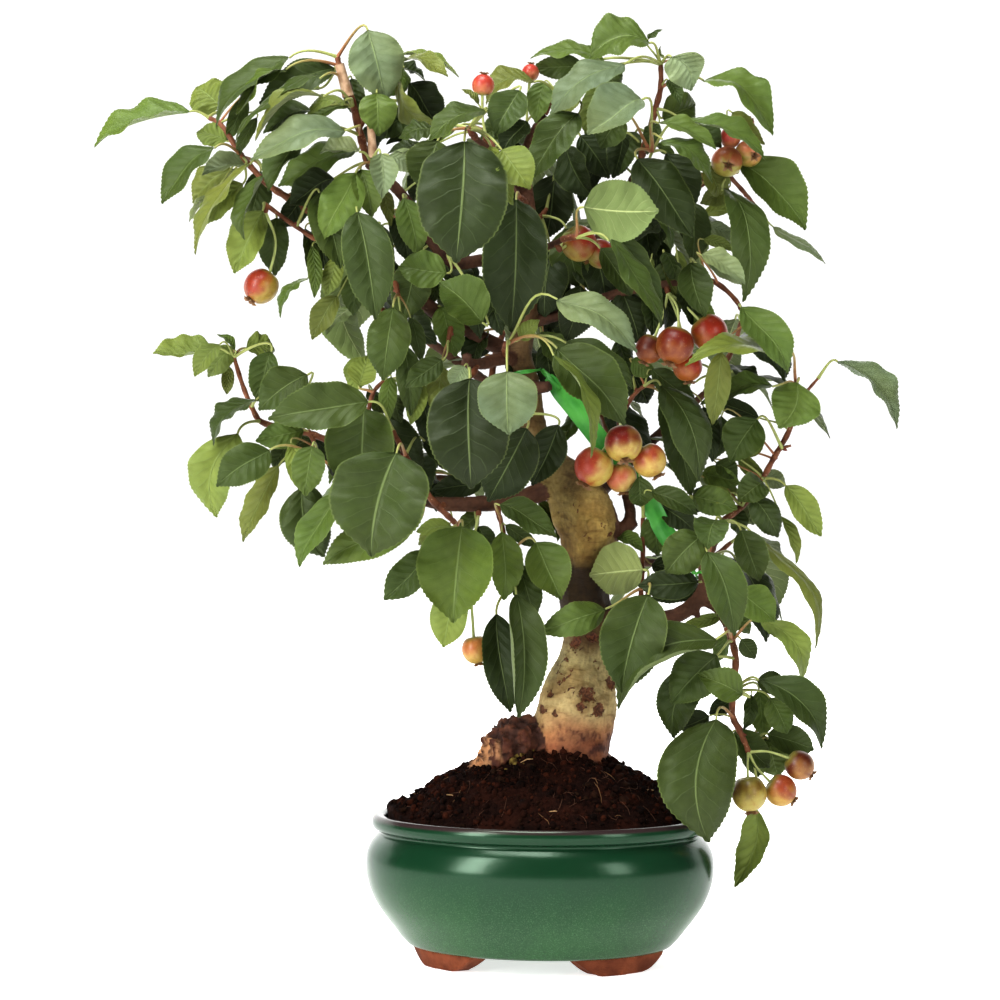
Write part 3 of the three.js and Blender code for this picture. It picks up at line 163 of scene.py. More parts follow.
# Each spray has the place of its root in the wood, its stems, and its leaves: foot x, z, tip x, z, width,
# turn about the midrib in degrees, depth of the foot, how far the tip lies behind it, the height of the
# arch where it is not the usual one, and the tone.
SPRAYS = [
    ("spray_far_left", (-130, 419, -22),
     [[(-143, 428, -22, 2), (-152, 434, -22, 1.8), (-167, 450, -18, 1.6), (-180, 469, -12, 1.4),
       (-186, 472, -11, 1.2)]],
     [(-197, 475.5, -251, 458, 28, 60, -14, -6, "M"), (-179, 478, -193, 489, 24, 10, 4, 8, "L"),
      (-183, 455, -212.5, 424, 24, 45, -36, -6, "D"), (-176, 459, -193, 464, 16, 20, 0, 6, "L"),
      (-166, 446, -190, 440, 16, 40, -24, -4, "P"), (-167, 435, -191, 411.5, 18, 20, -8, 6, "L"),
      (-163, 446, -193, 395, 20, 62, -46, -8, "O"), (-185, 428, -197.5, 414, 9, 55, -20, 2, "P"),
      (-155, 440, -167, 404, 18, 58, -54, -6, "D")]),
    ("spray_left_twig", (-108, 400, -19.5),
     [[(-122, 402, -29, 1.5), (-137, 411, -33, 1.3), (-155, 424, -37, 1.2)]],
     [(-156, 420, -172.5, 385, 20, 10, -38, 4, "L"), (-148, 416, -149, 383.5, 17, 5, -34, 2, "D"),
      (-124, 430, -112, 388, 22, 10, -44, -4, "D"), (-128, 400, -127, 371, 8, 10, -38, 0, "M"),
      (-114, 394, -121, 372, 11, 10, -34, 0, "L")]),
    ("spray_top_left", (-97, 447, -24),
     [[(-101, 462, -22, 2.2), (-105, 478, -20, 2.1), (-109, 492, -19, 2), (-113, 501, -18, 1.8),
       (-114, 506, -18, 1.4)],
      [(-102, 466, -21.6, 1.6), (-94, 482, -16, 1.4), (-88, 495, -12, 1.2)]],
     [(-141, 505.5, -181, 466, 26, 48, -24, -2, 0.22, "D"), (-143, 499, -171, 474, 20, 65, -32, -4, "M"),
      (-124, 494, -170, 456, 20, 66, -42, -6, 0.18, "D"), (-124, 488.5, -149, 484, 20, 60, -8, 6, "L"),
      (-122, 484, -160, 459, 18, 66, -56, -6, 0.2, "O"), (-97, 521, -87, 481, 30, 8, -34, 4, "G"),
      (-128, 476, -156, 464, 18, 50, -30, 0, "D"), (-110, 465, -163, 449, 26, 40, -62, -10, "G"),
      (-132, 461, -153, 431, 24, 40, -44, -4, "D"), (-110, 482, -130, 475, 16, 55, -38, -4, "L"),
      (-92, 486, -91, 462, 20, 8, -36, -4, "M"), (-78, 508, -46, 494.5, 14, 72, -8, 4, "L"),
      (-77, 504.5, -52, 495.5, 16, 60, -16, -2, "O"), (-80, 500, -65, 492.5, 14, 60, 0, 4, "K"),
      (-74, 491, -56, 464, 20, 25, -12, 4, "K"), (-82, 492, -59, 466, 18, -60, -24, -4, "O")]),
    ("spray_left_crown", (-90, 440.5, -24),
     [[(-92, 443, -34, 1.8), (-95, 447, -42, 1.4)]],
     [(-102, 453, -124, 452, 18, 52, -50, -2, "P"), (-90, 452, -89, 427, 15, 8, -58, -4, "P"),
      (-85, 451, -68, 441, 13, 15, -48, 0, "P"), (-104, 441, -122, 404, 22, 10, -54, 0, "M"),
      (-101, 443, -95, 416, 17, 8, -50, -2, "M")]),
    ("spray_front_crown", (-37, 461, -50),
     [[(-39, 464, -57, 2), (-40, 466, -61, 1.5)]],
     [(-43, 459, -48, 391, 46, 6, -84, -8, 0.08, "K"), (-58, 459, -66, 430, 24, 12, -66, -2, "D"),
      (-28, 456, -15, 423, 16, -30, -72, -4, "L"), (-22, 454, -6, 432, 20, 10, -80, -6, "L"),
      (-12, 487, -26, 462, 20, 14, -62, -6, "D"), (-32, 477, -63, 460, 18, 42, -74, -8, "D"),
      (-35, 479.5, -44.5, 488, 6, 50, -60, 0, "O"), (-60, 466, -80, 461, 18, 50, -54, 0, "D"),
      (-66, 455, -86, 452, 12, 50, -46, 4, "K")]),
    ("spray_top_right", (55, 446, 3),
     [[(57, 453, 0, 2.1), (60, 462, -1, 2), (64, 477, -2, 1.8), (67, 489, -3, 1.6), (67, 502, -4, 1.3)],
      [(58, 455, 0, 1.4), (60, 455, -10, 1.2), (62, 453, -18, 1)]],
     [(60.5, 514, 27, 504, 28, 35, -10, 0, "M"), (36, 502, -6, 506, 20, 55, 6, 8, "M"),
      (46.5, 502, 5, 474, 24, 42, -30, -8, "G"), (33, 499, 44, 487, 16, 15, 14, 0, "D"),
      (56, 482, 26, 462, 28, 30, -44, -8, "G"), (73, 506, 84, 487, 22, -20, -12, 0, "P"),
      (73, 506, 67, 512.5, 6, 60, 0, 2, "L"), (60, 516, 68, 521.5, 7, 55, -4, 4, "D"),
      (68, 472, 87, 480, 22, -15, 4, 8, "M"), (91, 493, 131, 464, 28, 55, -14, -8, 0.2, "M"),
      (78, 469, 126, 449, 20, 58, -28, -6, "M"), (82, 469, 101, 455, 15, 15, -10, 0, "D"),
      (66, 469, 98, 454, 16, 50, -44, -6, "M"), (68, 460, 97, 437, 20, 50, -52, -4, "M"),
      (54, 449, 85, 405, 26, 16, -40, -8, "K"), (70, 452, 85, 420, 18, 15, -20, 0, "K"),
      (60, 436, 73, 398, 16, 60, -28, -4, "D"), (45, 472, 33, 455, 17, 12, -22, 0, "D")]),
    ("spray_right_crown", (98, 439, 6),
     [[(104, 441, 3, 1.7), (110, 442, 0, 1.5)],
      [(104, 441, 3, 1.4), (114, 430, 14, 1.2), (119, 424, 20, 1)]],
     [(111, 446, 148, 409, 28, 14, -14, -2, "M"), (101.5, 431.5, 112, 368, 24, 52, -34, -10, 0.22, "D"),
      (93, 445, 100, 427, 14, 10, -8, 4, "O"), (130, 411, 159.5, 390.5, 14, 60, 24, 6, "P"),
      (84, 425, 85, 390, 16, 10, -6, 0, "D")]),
    ("spray_right_middle", (84, 380, -16),
     [[(92, 381, -19, 1.6), (99, 379, -22, 1.5), (111, 367, -24, 1.2), (114, 356, -24, 1)]],
     [(84, 391, 92, 360.5, 19, 8, -36, -4, "D"), (90, 395, 114, 378, 14, 30, -48, -6, "P"),
      (112, 366, 138, 329, 22, 20, -30, -2, "M"), (101, 341, 96, 300, 14, 10, -26, 4, "O")]),
    ("spray_lower_left", (-118, 291, -18),
     [[(-129, 295, -17.5, 1.9), (-140, 298, -17, 1.8), (-157, 302, -15, 1.6), (-162, 310, -14, 1.5),
       (-167, 322, -12, 1.3), (-172, 338, -11, 1.2)],
      [(-129, 295, -17.5, 1.4), (-126, 287, -24, 1.2), (-124, 281, -29, 1)]],
     [(-185, 343.5, -217.5, 341, 20, 52, -12, -2, "L"), (-180, 345, -194, 327, 12, 20, -26, -2, "L"),
      (-171.5, 342, -181.5, 351, 6, 50, -16, 4, "M"), (-165, 343, -149, 342, 18, 40, -2, 6, "L"),
      (-151, 341, -159, 313, 16, 8, -30, 0, "D"), (-131, 328, -158, 308, 24, 14, -34, 4, "D"),
      (-159.5, 314, -184, 289, 20, 58, -32, -4, 0.2, "D"), (-170, 295, -182, 248, 26, 8, -30, 6, "L"),
      (-152, 286, -182, 266, 22, 12, -44, -8, "D"), (-147, 277, -168, 234.5, 16, 30, -28, 4, "O"),
      (-128, 288, -132, 260, 18, 8, -46, -6, "M"), (-140, 290, -134, 262, 11, 10, -36, 0, "L"),
      (-133, 266, -121, 226, 26, 10, -40, 2, "D"), (-112, 260, -135, 220, 18, 30, -56, -8, "M")]),
    ("spray_left_front", (-54, 256, -21),
     [[(-57, 254, -31, 1.9), (-64, 262, -36, 1.8), (-76, 283, -42, 1.6), (-83, 297, -44, 1.3)],
      [(-58, 254.6, -32, 1.7), (-51, 248, -35, 1.6), (-47, 244, -37, 1.4)]],
     [(-97, 313, -153, 303.5, 25, 14, -62, -8, "D"), (-81, 284, -95, 226, 50, 5, -72, -10, 0.08, "D"),
      (-44, 243, -49, 189, 40, 5, -54, -8, "M"), (-62, 228, -88, 202, 18, 10, -46, 0, "D"),
      (-48, 207, -54.5, 175.5, 20, 8, -36, 2, "L"), (-50, 243, -70, 240, 10, 15, -46, 0, "L"),
      (-71, 244, -122.5, 222, 22, 12, -48, 6, "M")]),
    ("spray_left_upright", (-95, 278, -20),
     [[(-95.5, 288, -23, 1.6), (-97, 302, -26, 1.4), (-94, 318, -28, 1.2), (-88, 325, -29, 1)]],
     [(-99, 309, -100, 262, 36, 6, -42, 4, "D"), (-88, 305, -68, 270, 22, 10, -22, 4, "K"),
      (-102, 322, -97, 339, 16, 8, -28, 0, "L"), (-84, 327, -85, 303, 10, 8, -34, 0, "M"),
      (-65, 322, -73, 300, 10, 8, -32, 0, "L")]),
    ("spray_limb_left", (-98, 393.5, -17),
     [[(-99, 397, -29, 1.6), (-99, 400, -35, 1.3)]],
     [(-103, 419, -92.5, 359, 26, 8, -62, -6, "D"), (-90, 412, -90, 364.5, 14, 8, -44, 0, "K"),
      (-114, 372, -128, 347.5, 14, 12, -30, 0, "O")]),
    ("spray_limb_near", (-82, 382, -14),
     [[(-81, 377, -26, 1.5), (-80, 373, -31, 1.2)]],
     [(-83, 366, -89, 325, 23, 10, -46, 0, "D"), (-77, 345, -73, 305, 14, 10, -38, 4, "D"),
      (-73, 360, -67, 335, 9, 10, -30, 0, "D")]),
    ("spray_limb_low", (-50, 358, -6),
     [[(-51, 352, -19, 1.5), (-52, 347, -25, 1.2)]],
     [(-55.5, 336, -76, 320.5, 14, 12, -40, 0, "D"), (-56, 333, -58, 304, 14, 10, -30, 0, "O")]),
    ("spray_knee_left", (-50, 391.5, -18),
     [[(-51, 393, -31, 1.6), (-52, 395, -37, 1.3)]],
     [(-53, 385, -80, 388, 20, 12, -50, 2, "M"), (-33, 357.5, -57, 380, 24, 12, -60, 0, "M")]),
    ("spray_limb_top", (-74, 423, -23.3),
     [[(-75, 425, -35, 1.5), (-76, 428, -41, 1.2)]],
     [(-77, 427, -69, 394, 17, 10, -50, 2, "M")]),
    ("spray_middle", (-20, 337, -10),
     [[(-20, 343, -22, 2), (-19.5, 345, -28, 1.8), (-18, 346, -33, 1.4)]],
     [(-19, 330, -18, 294.5, 31, 6, -66, -4, "G"), (9, 370.5, 54, 341, 22, 30, -74, -8, "G"),
      (-12, 348, -1, 359, 10, 15, -40, -4, "L"), (9, 343, 47, 300, 30, 14, -56, -4, "D"),
      (7, 339, 27, 281, 18, 66, -72, -8, 0.16, "L"), (14, 346, 51, 320, 20, 40, -42, 0, "D")]),
    ("spray_front_stub", (-36, 334, -29),
     [[(-38, 329, -40, 1.8), (-40, 327, -45, 1.5)]],
     [(-40, 326, -39, 264, 42, 4, -74, -4, "K"), (-43, 333, -50, 321, 11, 10, -56, 0, "P")]),
    ("spray_trunk_top", (-8, 424, 2),
     [[(-10, 426, -12, 1.7), (-12, 428, -19, 1.4)]],
     [(-14, 426, -17, 352, 34, 6, -38, 0, "K")]),
    ("spray_trunk_low", (-7, 306, -1),
     [[(-9, 306, -16, 1.8), (-9, 306, -22, 1.4)]],
     [(-8, 298, -30, 257, 28, 8, -36, 0, "K"), (10, 300, -5, 266, 20, 8, -26, 2, "K")]),
    ("spray_trunk_right", (-8, 412, 1.5),
     [[(0, 417, 12, 1.6), (3, 421, 17, 1.3)]],
     [(5, 397, 3, 350, 22, 10, 14, 2, "K"), (8, 440, 3, 404, 26, 8, 20, 6, "K")]),
    ("spray_centre_top", (2, 474, 0),
     [[(6, 482, -1, 1.6), (8, 487, -2, 1.3)]],
     [(21, 474, -6, 437, 22, 20, -34, -6, "D"), (20, 490, 8, 472, 15, 10, -10, 0, "O"),
      (22, 462, 38, 438, 20, 10, 10, 4, "K"), (-4, 492, -31, 480, 20, 48, -8, 0, "O")]),
    ("spray_rosette", (12, 404, -42),
     [[(17, 405, -49, 1.8), (20, 405, -53, 1.4)]],
     [(24, 422, 66, 420, 32, 172, -66, -4, "M"), (38, 403, 66, 354, 18, 46, -66, -6, "D"),
      (39, 406, 67, 366, 12, 40, -54, 4, "D"), (33, 399, 50, 372, 16, 10, -44, 8, "D")]),
    ("spray_right_twig", (97, 236, -4),
     [[(102, 246, -1, 1.9), (112, 254, 2, 1.8), (124, 270, 6, 1.7), (130, 281, 8, 1.6),
       (139, 297, 10, 1.5), (143, 310, 10, 1.3), (143, 322, 10, 1.1)],
      [(131, 283, 8, 1), (135, 287, 7, 0.9), (140, 288.5, 6, 0.7)],
      [(143, 310, 10, 1.1), (149, 319, 10, 0.9), (155, 326, 10, 0.8)]],
     [(143.5, 323.5, 133, 298, 28, 10, -8, -4, "M"), (129.5, 321.5, 89, 312, 16, 45, -16, -6, "M"),
      (135, 342, 81, 334.5, 22, 48, -6, -4, "L"), (166, 335.5, 199, 297.5, 22, 48, 8, -4, 0.15, "G"),
      (122, 304, 93, 314, 10, 12, 24, 4, "K"), (121, 303, 106, 279, 24, 10, -6, 0, "D"),
      (112, 284, 125, 290, 9, 10, 0, 0, "O"), (137, 266, 157, 237.5, 15, 12, 2, 0, "L"),
      (98, 279, 110, 270, 12, 12, 8, 0, "D"), (124, 272, 137, 266, 11, 10, 18, 2, "P"),
      (119, 259, 133, 237, 16, 8, -8, 0, "D"), (124, 268, 110, 257, 16, 8, -4, -2, "D"),
      (119, 238, 153, 174, 16, 58, -10, -6, 0.18, "O"), (134, 249, 143, 222, 9, 40, 8, 4, "L"),
      (112, 241, 122, 212.5, 18, 10, -18, -2, "D"), (106, 262, 90, 258, 10, 20, -8, 0, "L")]),
    ("spray_centre", (44, 303, 3),
     [[(48, 311, 1, 1.4), (53, 318, -1, 1.2), (58, 322, -3, 1)]],
     [(68, 316, 84, 259, 20, 10, -4, 4, "D"), (67, 322, 88, 268, 24, 20, -18, -4, "D"),
      (52, 328, 60, 312, 16, 10, 8, 2, "K")]),
    ("spray_low_centre", (-24, 257, -14.3),
     [[(-24, 251, -24, 1.6), (-22, 244, -28, 1.4), (-19, 226, -28, 1.3), (-17, 210, -28, 1.1)]],
     [(-22, 240, -21, 201.7, 18, 10, -40, 0, "M"), (-23, 255, 9, 237, 18, 30, -46, -6, "D"),
      (-20, 244, -2, 232, 8, 10, -34, 2, "D"), (-3, 234, 11, 202, 24, 10, -44, -4, "M"),
      (-12, 222, -3, 192, 16, 8, -36, 0, "D"), (-25, 194, -17, 139, 20, 8, -36, 4, "K"),
      (-14, 205, -13, 136, 24, 8, -48, -4, 0.14, "D")]),
    ("spray_low_limb", (58, 193.2, -9),
     [[(60, 203, -20, 1.7), (60, 209, -25, 1.4)]],
     [(36, 197, -1.5, 184, 18, 14, -40, -6, "M"), (60, 205, 45, 150, 34, 6, -50, -4, "D"),
      (57, 219, 27, 216, 28, 170, -36, 2, "O"), (88, 212, 54, 210, 17, 10, -32, 0, "K")]),
    ("spray_upright", (56, 193.5, -8.5),
     [[(56, 206, -10, 1.4), (57, 226, -9, 1.3), (57, 248, -10, 1.2)]],
     [(62, 263, 88, 250, 12, 12, -16, 0, "D"), (55, 271, 56, 254, 14, 8, -18, 0, "D")]),
    ("spray_knuckle", (91.6, 220, -8.7),
     [[(93, 224, -20, 1.6), (94, 227, -26, 1.3)]],
     [(90, 238, 70, 217, 22, 10, -38, 0, "D"), (98, 247, 93, 231, 18, 12, -34, -4, "D"),
      (93, 229, 109, 182, 22, 10, -44, -4, "D")]),
    ("spray_lower_right", (104, 187, -17),
     [[(107, 179, -18, 2), (109, 169, -18, 1.9), (107.5, 150, -18, 1.8), (107.5, 136, -18, 1.7),
       (112, 127, -19, 1.6), (115.5, 119, -20, 1.5)],
      [(107.5, 136, -18, 1.3), (113, 128, -9, 1.1), (118, 118, -4, 1)]],
     [(111, 207, 131, 190, 20, 14, -26, -2, "M"), (123, 190, 146, 155, 17, 30, -16, -2, 0.18, "L"),
      (98, 180, 42.5, 141, 32, 36, -54, -6, 0.16, "D"), (112, 180, 120, 169, 10, 12, -28, 0, "D"),
      (98, 135, 94, 66, 41, 5, -50, -6, 0.1, "D"), (90, 165, 74, 124, 22, 8, -28, 4, "D"),
      (98.5, 171, 72.5, 144, 26, 12, -40, 0, "D"), (113, 149, 88, 161, 18, 14, -50, -2, "M"),
      (94, 137, 77, 130, 13, 10, -14, 2, "K"), (107, 146, 94, 138, 10, 10, -4, 2, "K"),
      (121, 157, 139, 152, 13, 12, -10, 2, "D"), (122, 157, 156.5, 118, 22, 28, -30, -2, 0.2, "D"),
      (122, 152, 124, 125, 15, 8, -2, 2, "M"), (128, 147, 138, 127, 15, 10, -18, 0, "M"),
      (127, 127, 153, 118, 16, 12, -8, 2, "D"), (127, 124, 133, 103, 20, 8, 0, 2, "M"),
      (121, 128, 121, 103, 20, 8, 8, 2, "D"), (120, 86, 108.5, 41, 18, 38, 0, -2, "L")]),
]
# Leaves deeper in the crown, each on the nearest wood: foot x, z, tip x, z, width and tone.
INNER_LEAVES = [
    (-116, 500, -158, 480, 20, "D"), (-106, 494, -100, 470, 12, "D"), (-108, 479, -132, 468, 14, "M"),
    (-165, 484, -176, 459, 10, "D"), (-159, 472, -170, 448, 8, "D"), (-86, 476, -94, 453, 16, "K"),
    (-71, 475, -92, 461, 16, "D"), (-63, 464, -87, 457, 10, "K"), (-104, 453, -147, 433, 26, "M"),
    (-116, 438, -141, 423, 20, "K"), (-172, 443, -195, 424, 22, "O"), (-157, 442, -163, 415, 16, "D"),
    (-132, 431, -147, 411, 14, "K"), (-126, 414, -122, 387, 12, "K"), (-132, 410, -130, 384, 9, "D"),
    (-83, 416, -74, 391, 14, "K"), (-88, 432, -84, 411, 8, "O"), (-103, 387, -105, 361, 15, "D"),
    (-77, 500, -85, 484, 12, "M"), (24, 501, -5, 500, 14, "D"), (2, 492, -3, 469, 14, "M"),
    (35, 491, 25, 462, 16, "L"), (14, 456, 30, 427, 22, "K"), (53, 464, 44, 440, 18, "D"),
    (33, 447, 22, 424, 14, "K"), (68, 414, 47, 398, 18, "K"), (64, 404, 64, 382, 16, "K"),
    (18, 391, 36, 373, 18, "K"), (45, 375, 55, 345, 20, "K"), (60, 373, 62, 350, 14, "K"),
    (-36, 389, -39, 373, 11, "K"), (-30, 374, -22, 350, 13, "K"), (-57, 383, -63, 367, 9, "D"),
    (-17, 433, -27, 417, 12, "K"), (-32, 411, -41, 395, 9, "K"), (71, 493, 78, 479, 8, "D"),
    (66, 469, 60, 451, 12, "D"), (64, 457, 75, 449, 9, "M"), (107, 475, 125, 457, 12, "O"),
    (105, 433, 89, 424, 12, "O"), (91, 418, 113, 424, 8, "L"), (92, 412, 114, 402, 10, "P"),
    (91, 404, 109, 397, 7, "L"), (91, 394, 113, 379, 13, "P"), (69, 397, 77, 379, 11, "D"),
    (67, 377, 70, 351, 13, "K"), (78, 375, 88, 353, 15, "K"), (42, 347, 50, 325, 15, "K"),
    (51, 337, 64, 329, 11, "M"), (62, 331, 87, 313, 14, "D"), (91, 310, 96, 279, 12, "K"),
    (101, 305, 97, 281, 14, "D"), (67, 256, 87, 240, 16, "K"), (85, 260, 110, 253, 16, "M"),
    (99, 270, 112, 261, 10, "L"), (90, 273, 112, 267, 12, "M"), (113, 257, 119, 244, 12, "P"),
    (105, 253, 112, 237, 13, "D"), (111, 283, 127, 268, 9, "L"), (62, 250, 65, 227, 17, "M"),
    (43, 238, 57, 229, 10, "M"), (-173, 344, -187, 327, 14, "L"), (-175, 333, -176, 317, 7, "O"),
    (-133, 297, -160, 291, 15, "M"), (-127, 293, -143, 285, 9, "D"), (-141, 289, -150, 275, 12, "D"),
    (-97, 338, -106, 318, 15, "L"), (-127, 293, -113, 268, 13, "K"), (-96, 320, -90, 303, 11, "D"),
    (-81, 317, -78, 301, 10, "D"), (-67, 315, -60, 283, 15, "K"), (-65, 291, -47, 271, 15, "K"),
    (-33, 267, -62, 263, 13, "K"), (-73, 365, -59, 345, 17, "K"), (-28, 347, -43, 338, 9, "K"),
    (-35, 252, -49, 240, 12, "M"), (-35, 243, -26, 231, 11, "D"), (-2, 258, 10, 235, 11, "M"),
    (-51, 245, -69, 233, 13, "L"), (104, 184, 97, 167, 11, "M"), (101, 193, 78, 187, 7, "L"),
    (107, 195, 117, 183, 10, "M"), (89, 209, 61, 202, 13, "K"), (118, 149, 114, 129, 9, "D"),
    (62, 222, 78, 216, 12, "K"), (-20, 470, -34, 460, 14, "D"), (-60, 440, -72, 424, 14, "K"),
    (36, 322, 46, 300, 12, "K"), (108, 128, 128, 108, 16, "D"), (100, 262, 84, 250, 14, "K"),
    (-92, 398, -88, 370, 20, "K"), (-70, 392, -78, 358, 22, "D"), (-44, 384, -50, 352, 20, "D"),
    (-28, 380, -34, 348, 20, "K"), (-20, 402, -22, 366, 24, "K"), (6, 396, 2, 360, 24, "K"),
    (14, 410, 22, 376, 22, "D"), (30, 402, 36, 368, 24, "K"), (50, 398, 53, 364, 22, "D"),
    (22, 378, 14, 346, 22, "K"), (42, 372, 46, 340, 22, "D"), (70, 392, 76, 358, 22, "D"),
    (-56, 366, -48, 338, 18, "M"), (58, 420, 62, 392, 20, "K"), (-104, 414, -112, 388, 18, "K"),
    (0, 352, 12, 330, 16, "D"), (-30, 352, -40, 326, 16, "K"), (84, 372, 96, 348, 14, "M"),
    (2, 345, 4, 318, 14, "K"), (-16, 344, -14, 322, 12, "K"), (62, 394, 57, 366, 7, "L"),
    (68, 392, 73, 362, 7, "O"), (76, 398, 82, 370, 7, "L"), (-8, 470, -22, 452, 16, "K"),
    (46, 462, 40, 438, 16, "K"), (-50, 452, -54, 430, 16, "K"),
]
# How far the middle of a drawn leaf is pushed aside, to the right of a leaf that hangs, by its foot.
SIDEWAYS = {
    (98, 135): -9, (120, 86): 9, (122, 157): 6, (123, 190): 6, (119, 238): 1,
    (101.5, 431.5): 5, (111, 446): 1, (130, 411): -3, (91, 493): -1, (73, 506): 5, (60.5, 514): -5,
    (-197, 475.5): 3, (-170, 295): -6, (-147, 277): 3, (-133, 266): -6,
    (143.5, 323.5): 5, (98, 180): -9, (90, 165): -5, (-4, 492): -4, (36, 502): -2, (-141, 505.5): 4,
    (84, 391): -3, (-25, 194): -4, (-14, 205): 3, (166, 335.5): 2, (78, 469): 1, (-81, 284): -3,
    (67, 322): 4, (-185, 343.5): 6,
}
# How blunt a leaf is, from 0 to 1.
BLUNT = {
    (-40, 326): 1.0, (-81, 284): 0.95, (-43, 459): 1.0, (-19, 330): 0.8, (-99, 309): 1.0, (24, 422): 0.7,
    (57, 219): 0.8, (-97, 521): 0.2, (-14, 426): 0.9, (98, 135): 0.6, (60, 205): 0.5, (-8, 298): 0.9,
    (-44, 243): 0.6, (54, 449): 0.8, (60.5, 514): 0.8, (46.5, 502): 0.7, (111, 446): 0.1, (-83, 366): 0.6,
    (-183, 455): 0.5, (-53, 385): 0.7, (-33, 357.5): 0.8, (90, 238): 0.9, (98, 247): 1.0,
}
# The depth, lean and roll by which a leaf hangs off its place in the frame.
NEARER = {(-19, 330): (-16, 0, 0), (135, 342): (-14, -28, 0), (101.5, 431.5): (0, 0, 28)}
# Leaves of the back sprays that hang elsewhere than in the frame: foot and tip on the elevation.
SWUNG = {
    ("spray_back_left", 1): ((-114, 374), (-98, 332)), ("spray_back_left", 3): ((-111, 383), (-104, 352)),
}
# Leaves with an edge rolled over, so that the pale underside shows: which edge, and how far in radians.
ROLLED = {(-14, 205): (1, 2.4), (98, 180): (-1, 2.4), (91, 493): (-1, 1.9)}
# Pale cut stumps: foot and top as x, z, depth, and the radius.
STUMPS = [((-108, 484, -27), (-113, 502, -29), 2.8), ((-94, 450, -38), (-95.5, 469, -40), 2.2)]
# Each bunch has its root in the wood, the place of its knob, and its apples: x, z, depth, radius, and
# which way the eye looks: right, up and back.
BUNCHES = [
    ("fruit_left", (-154, 423, -36.8), (-155, 415, -38),
     [(-156.5, 378, -42, 9.5, -0.6, -0.8, -0.2)]),
    ("fruit_crown_left", (-31, 456, -40.5), (-31, 466, -44),
     [(-32.5, 490, -46, 6, 0.1, 1, -0.1)]),
    ("fruit_crown_top", (-6, 460, 1), (-9, 470, 2),
     [(-6, 497, 4, 5, 0.1, 1, 0)]),
    ("fruit_right_crown", (88, 434, 10.6), (92, 444, 9),
     [(104, 447.5, -14, 8.6, 0, -0.4, -1), (116, 452, -8, 7.5, 0.4, -0.3, -1),
      (106, 461, -6, 6, 0.2, 0.5, -1), (114, 467, 0, 5.5, 0.5, 0.6, -0.6)]),
    ("fruit_rosette", (8, 402, -36), (12, 396, -34),
     [(21, 402, -24, 10, 0.6, -0.8, 0.3), (33, 396, -20, 8, 0.8, -0.6, 0)]),
    ("fruit_right_middle", (70, 378.4, -14.5), (72, 370, -20),
     [(75, 345, -34, 10.3, -0.3, -1, -0.2), (94, 352, -26, 10, 0.6, -0.8, -0.1),
      (82, 333, -22, 8.2, 0.1, -1, 0), (61, 343, -24, 8, -0.4, -0.9, 0)]),
    ("fruit_centre", (45.3, 292, 4), (44, 303, -6),
     [(46, 290, -32, 10.2, 0.1, -1, -0.5), (29.7, 277, -26, 10.8, -0.5, -0.9, -0.1),
      (60.5, 280.5, -24, 9.3, 0.5, -0.9, 0), (45, 271, -20, 8.4, 0.1, -1, 0)]),
    ("fruit_low_left", (-35, 256.2, -17.4), (-35, 233, -27),
     [(-36.6, 174.6, -32, 7.8, 0.2, -1, 0)]),
    ("fruit_lower_right", (115, 120, -19.9), (118, 112, -23),
     [(116.5, 94, -34, 9.8, 0.1, -1, 0), (134, 95.6, -28, 8.6, 0.8, -0.6, 0),
      (144.5, 109.6, -26, 8.2, 0.8, -0.6, 0)]),
]
# The sprays at the back: root and stem. Their leaves are set round the stem by a rule.
FILLING = [
    ("spray_back_left", (-86, 362, 80), [(-96, 370, 88, 2), (-112, 380, 98, 1.6), (-128, 384, 106, 1.2)]),
    ("spray_back_left_low", (-58, 270, 56), [(-68, 272, 64, 2), (-82, 280, 76, 1.6), (-92, 292, 84, 1.2)]),
    ("spray_back_right", (92, 318, 84), [(99, 328, 90, 2), (108, 344, 98, 1.6), (112, 358, 104, 1.2)]),
    ("spray_back_top", (-22, 446, 62), [(-26, 454, 71, 2), (-32, 464, 84, 1.6), (-40, 468, 96, 1.2)]),
    ("spray_back_low", (76, 222, 58), [(84, 222, 66, 2), (96, 226, 78, 1.6), (106, 234, 88, 1.2)]),
    ("spray_back_middle", (-28, 322, 34), [(-26, 338, 46, 2), (-20, 354, 60, 1.6), (-14, 366, 74, 1.2)]),
    ("spray_back_centre", (46, 276, 40), [(40, 290, 54, 2), (34, 306, 70, 1.6), (32, 318, 84, 1.2)]),
    ("spray_back_crown", (46, 413, 13), [(50, 416, 30, 2), (58, 418, 46, 1.6), (68, 420, 60, 1.2)]),
    ("spray_back_knee", (-64, 369, -9.3), [(-66, 384, 6, 1.8), (-74, 404, 22, 1.5), (-84, 418, 38, 1.2)]),
]


# ---- colours and finishes


def paint(red, green, blue):
    """A colour from 0 to 255 as shown on a screen, in linear light."""
    def linear(value):
        share = value / 255
        return share / 12.92 if share <= 0.04045 else ((share + 0.055) / 1.055) ** 2.4
    return (linear(red), linear(green), linear(blue), 1.0)


# Leaf tones by letter. K, the near-black green of leaves deep in the crown, is painted shade. G and P, the
# grey-greens, are painted sheen on the leaf face.
LEAF_TONES = {
    "K": paint(34, 45, 15), "D": paint(56, 70, 30), "M": paint(79, 97, 44), "G": paint(101, 116, 92),
    "L": paint(107, 121, 61), "P": paint(112, 125, 97), "O": paint(98, 106, 52),
}
PLAIN = (1, 1, 1, 1)  # for pieces whose finish needs no tint
YOUNG_WOOD = paint(120, 72, 44)
GREEN_STALK = paint(150, 158, 92)
RED_STALK = paint(150, 92, 64)
BUD = paint(116, 60, 44)


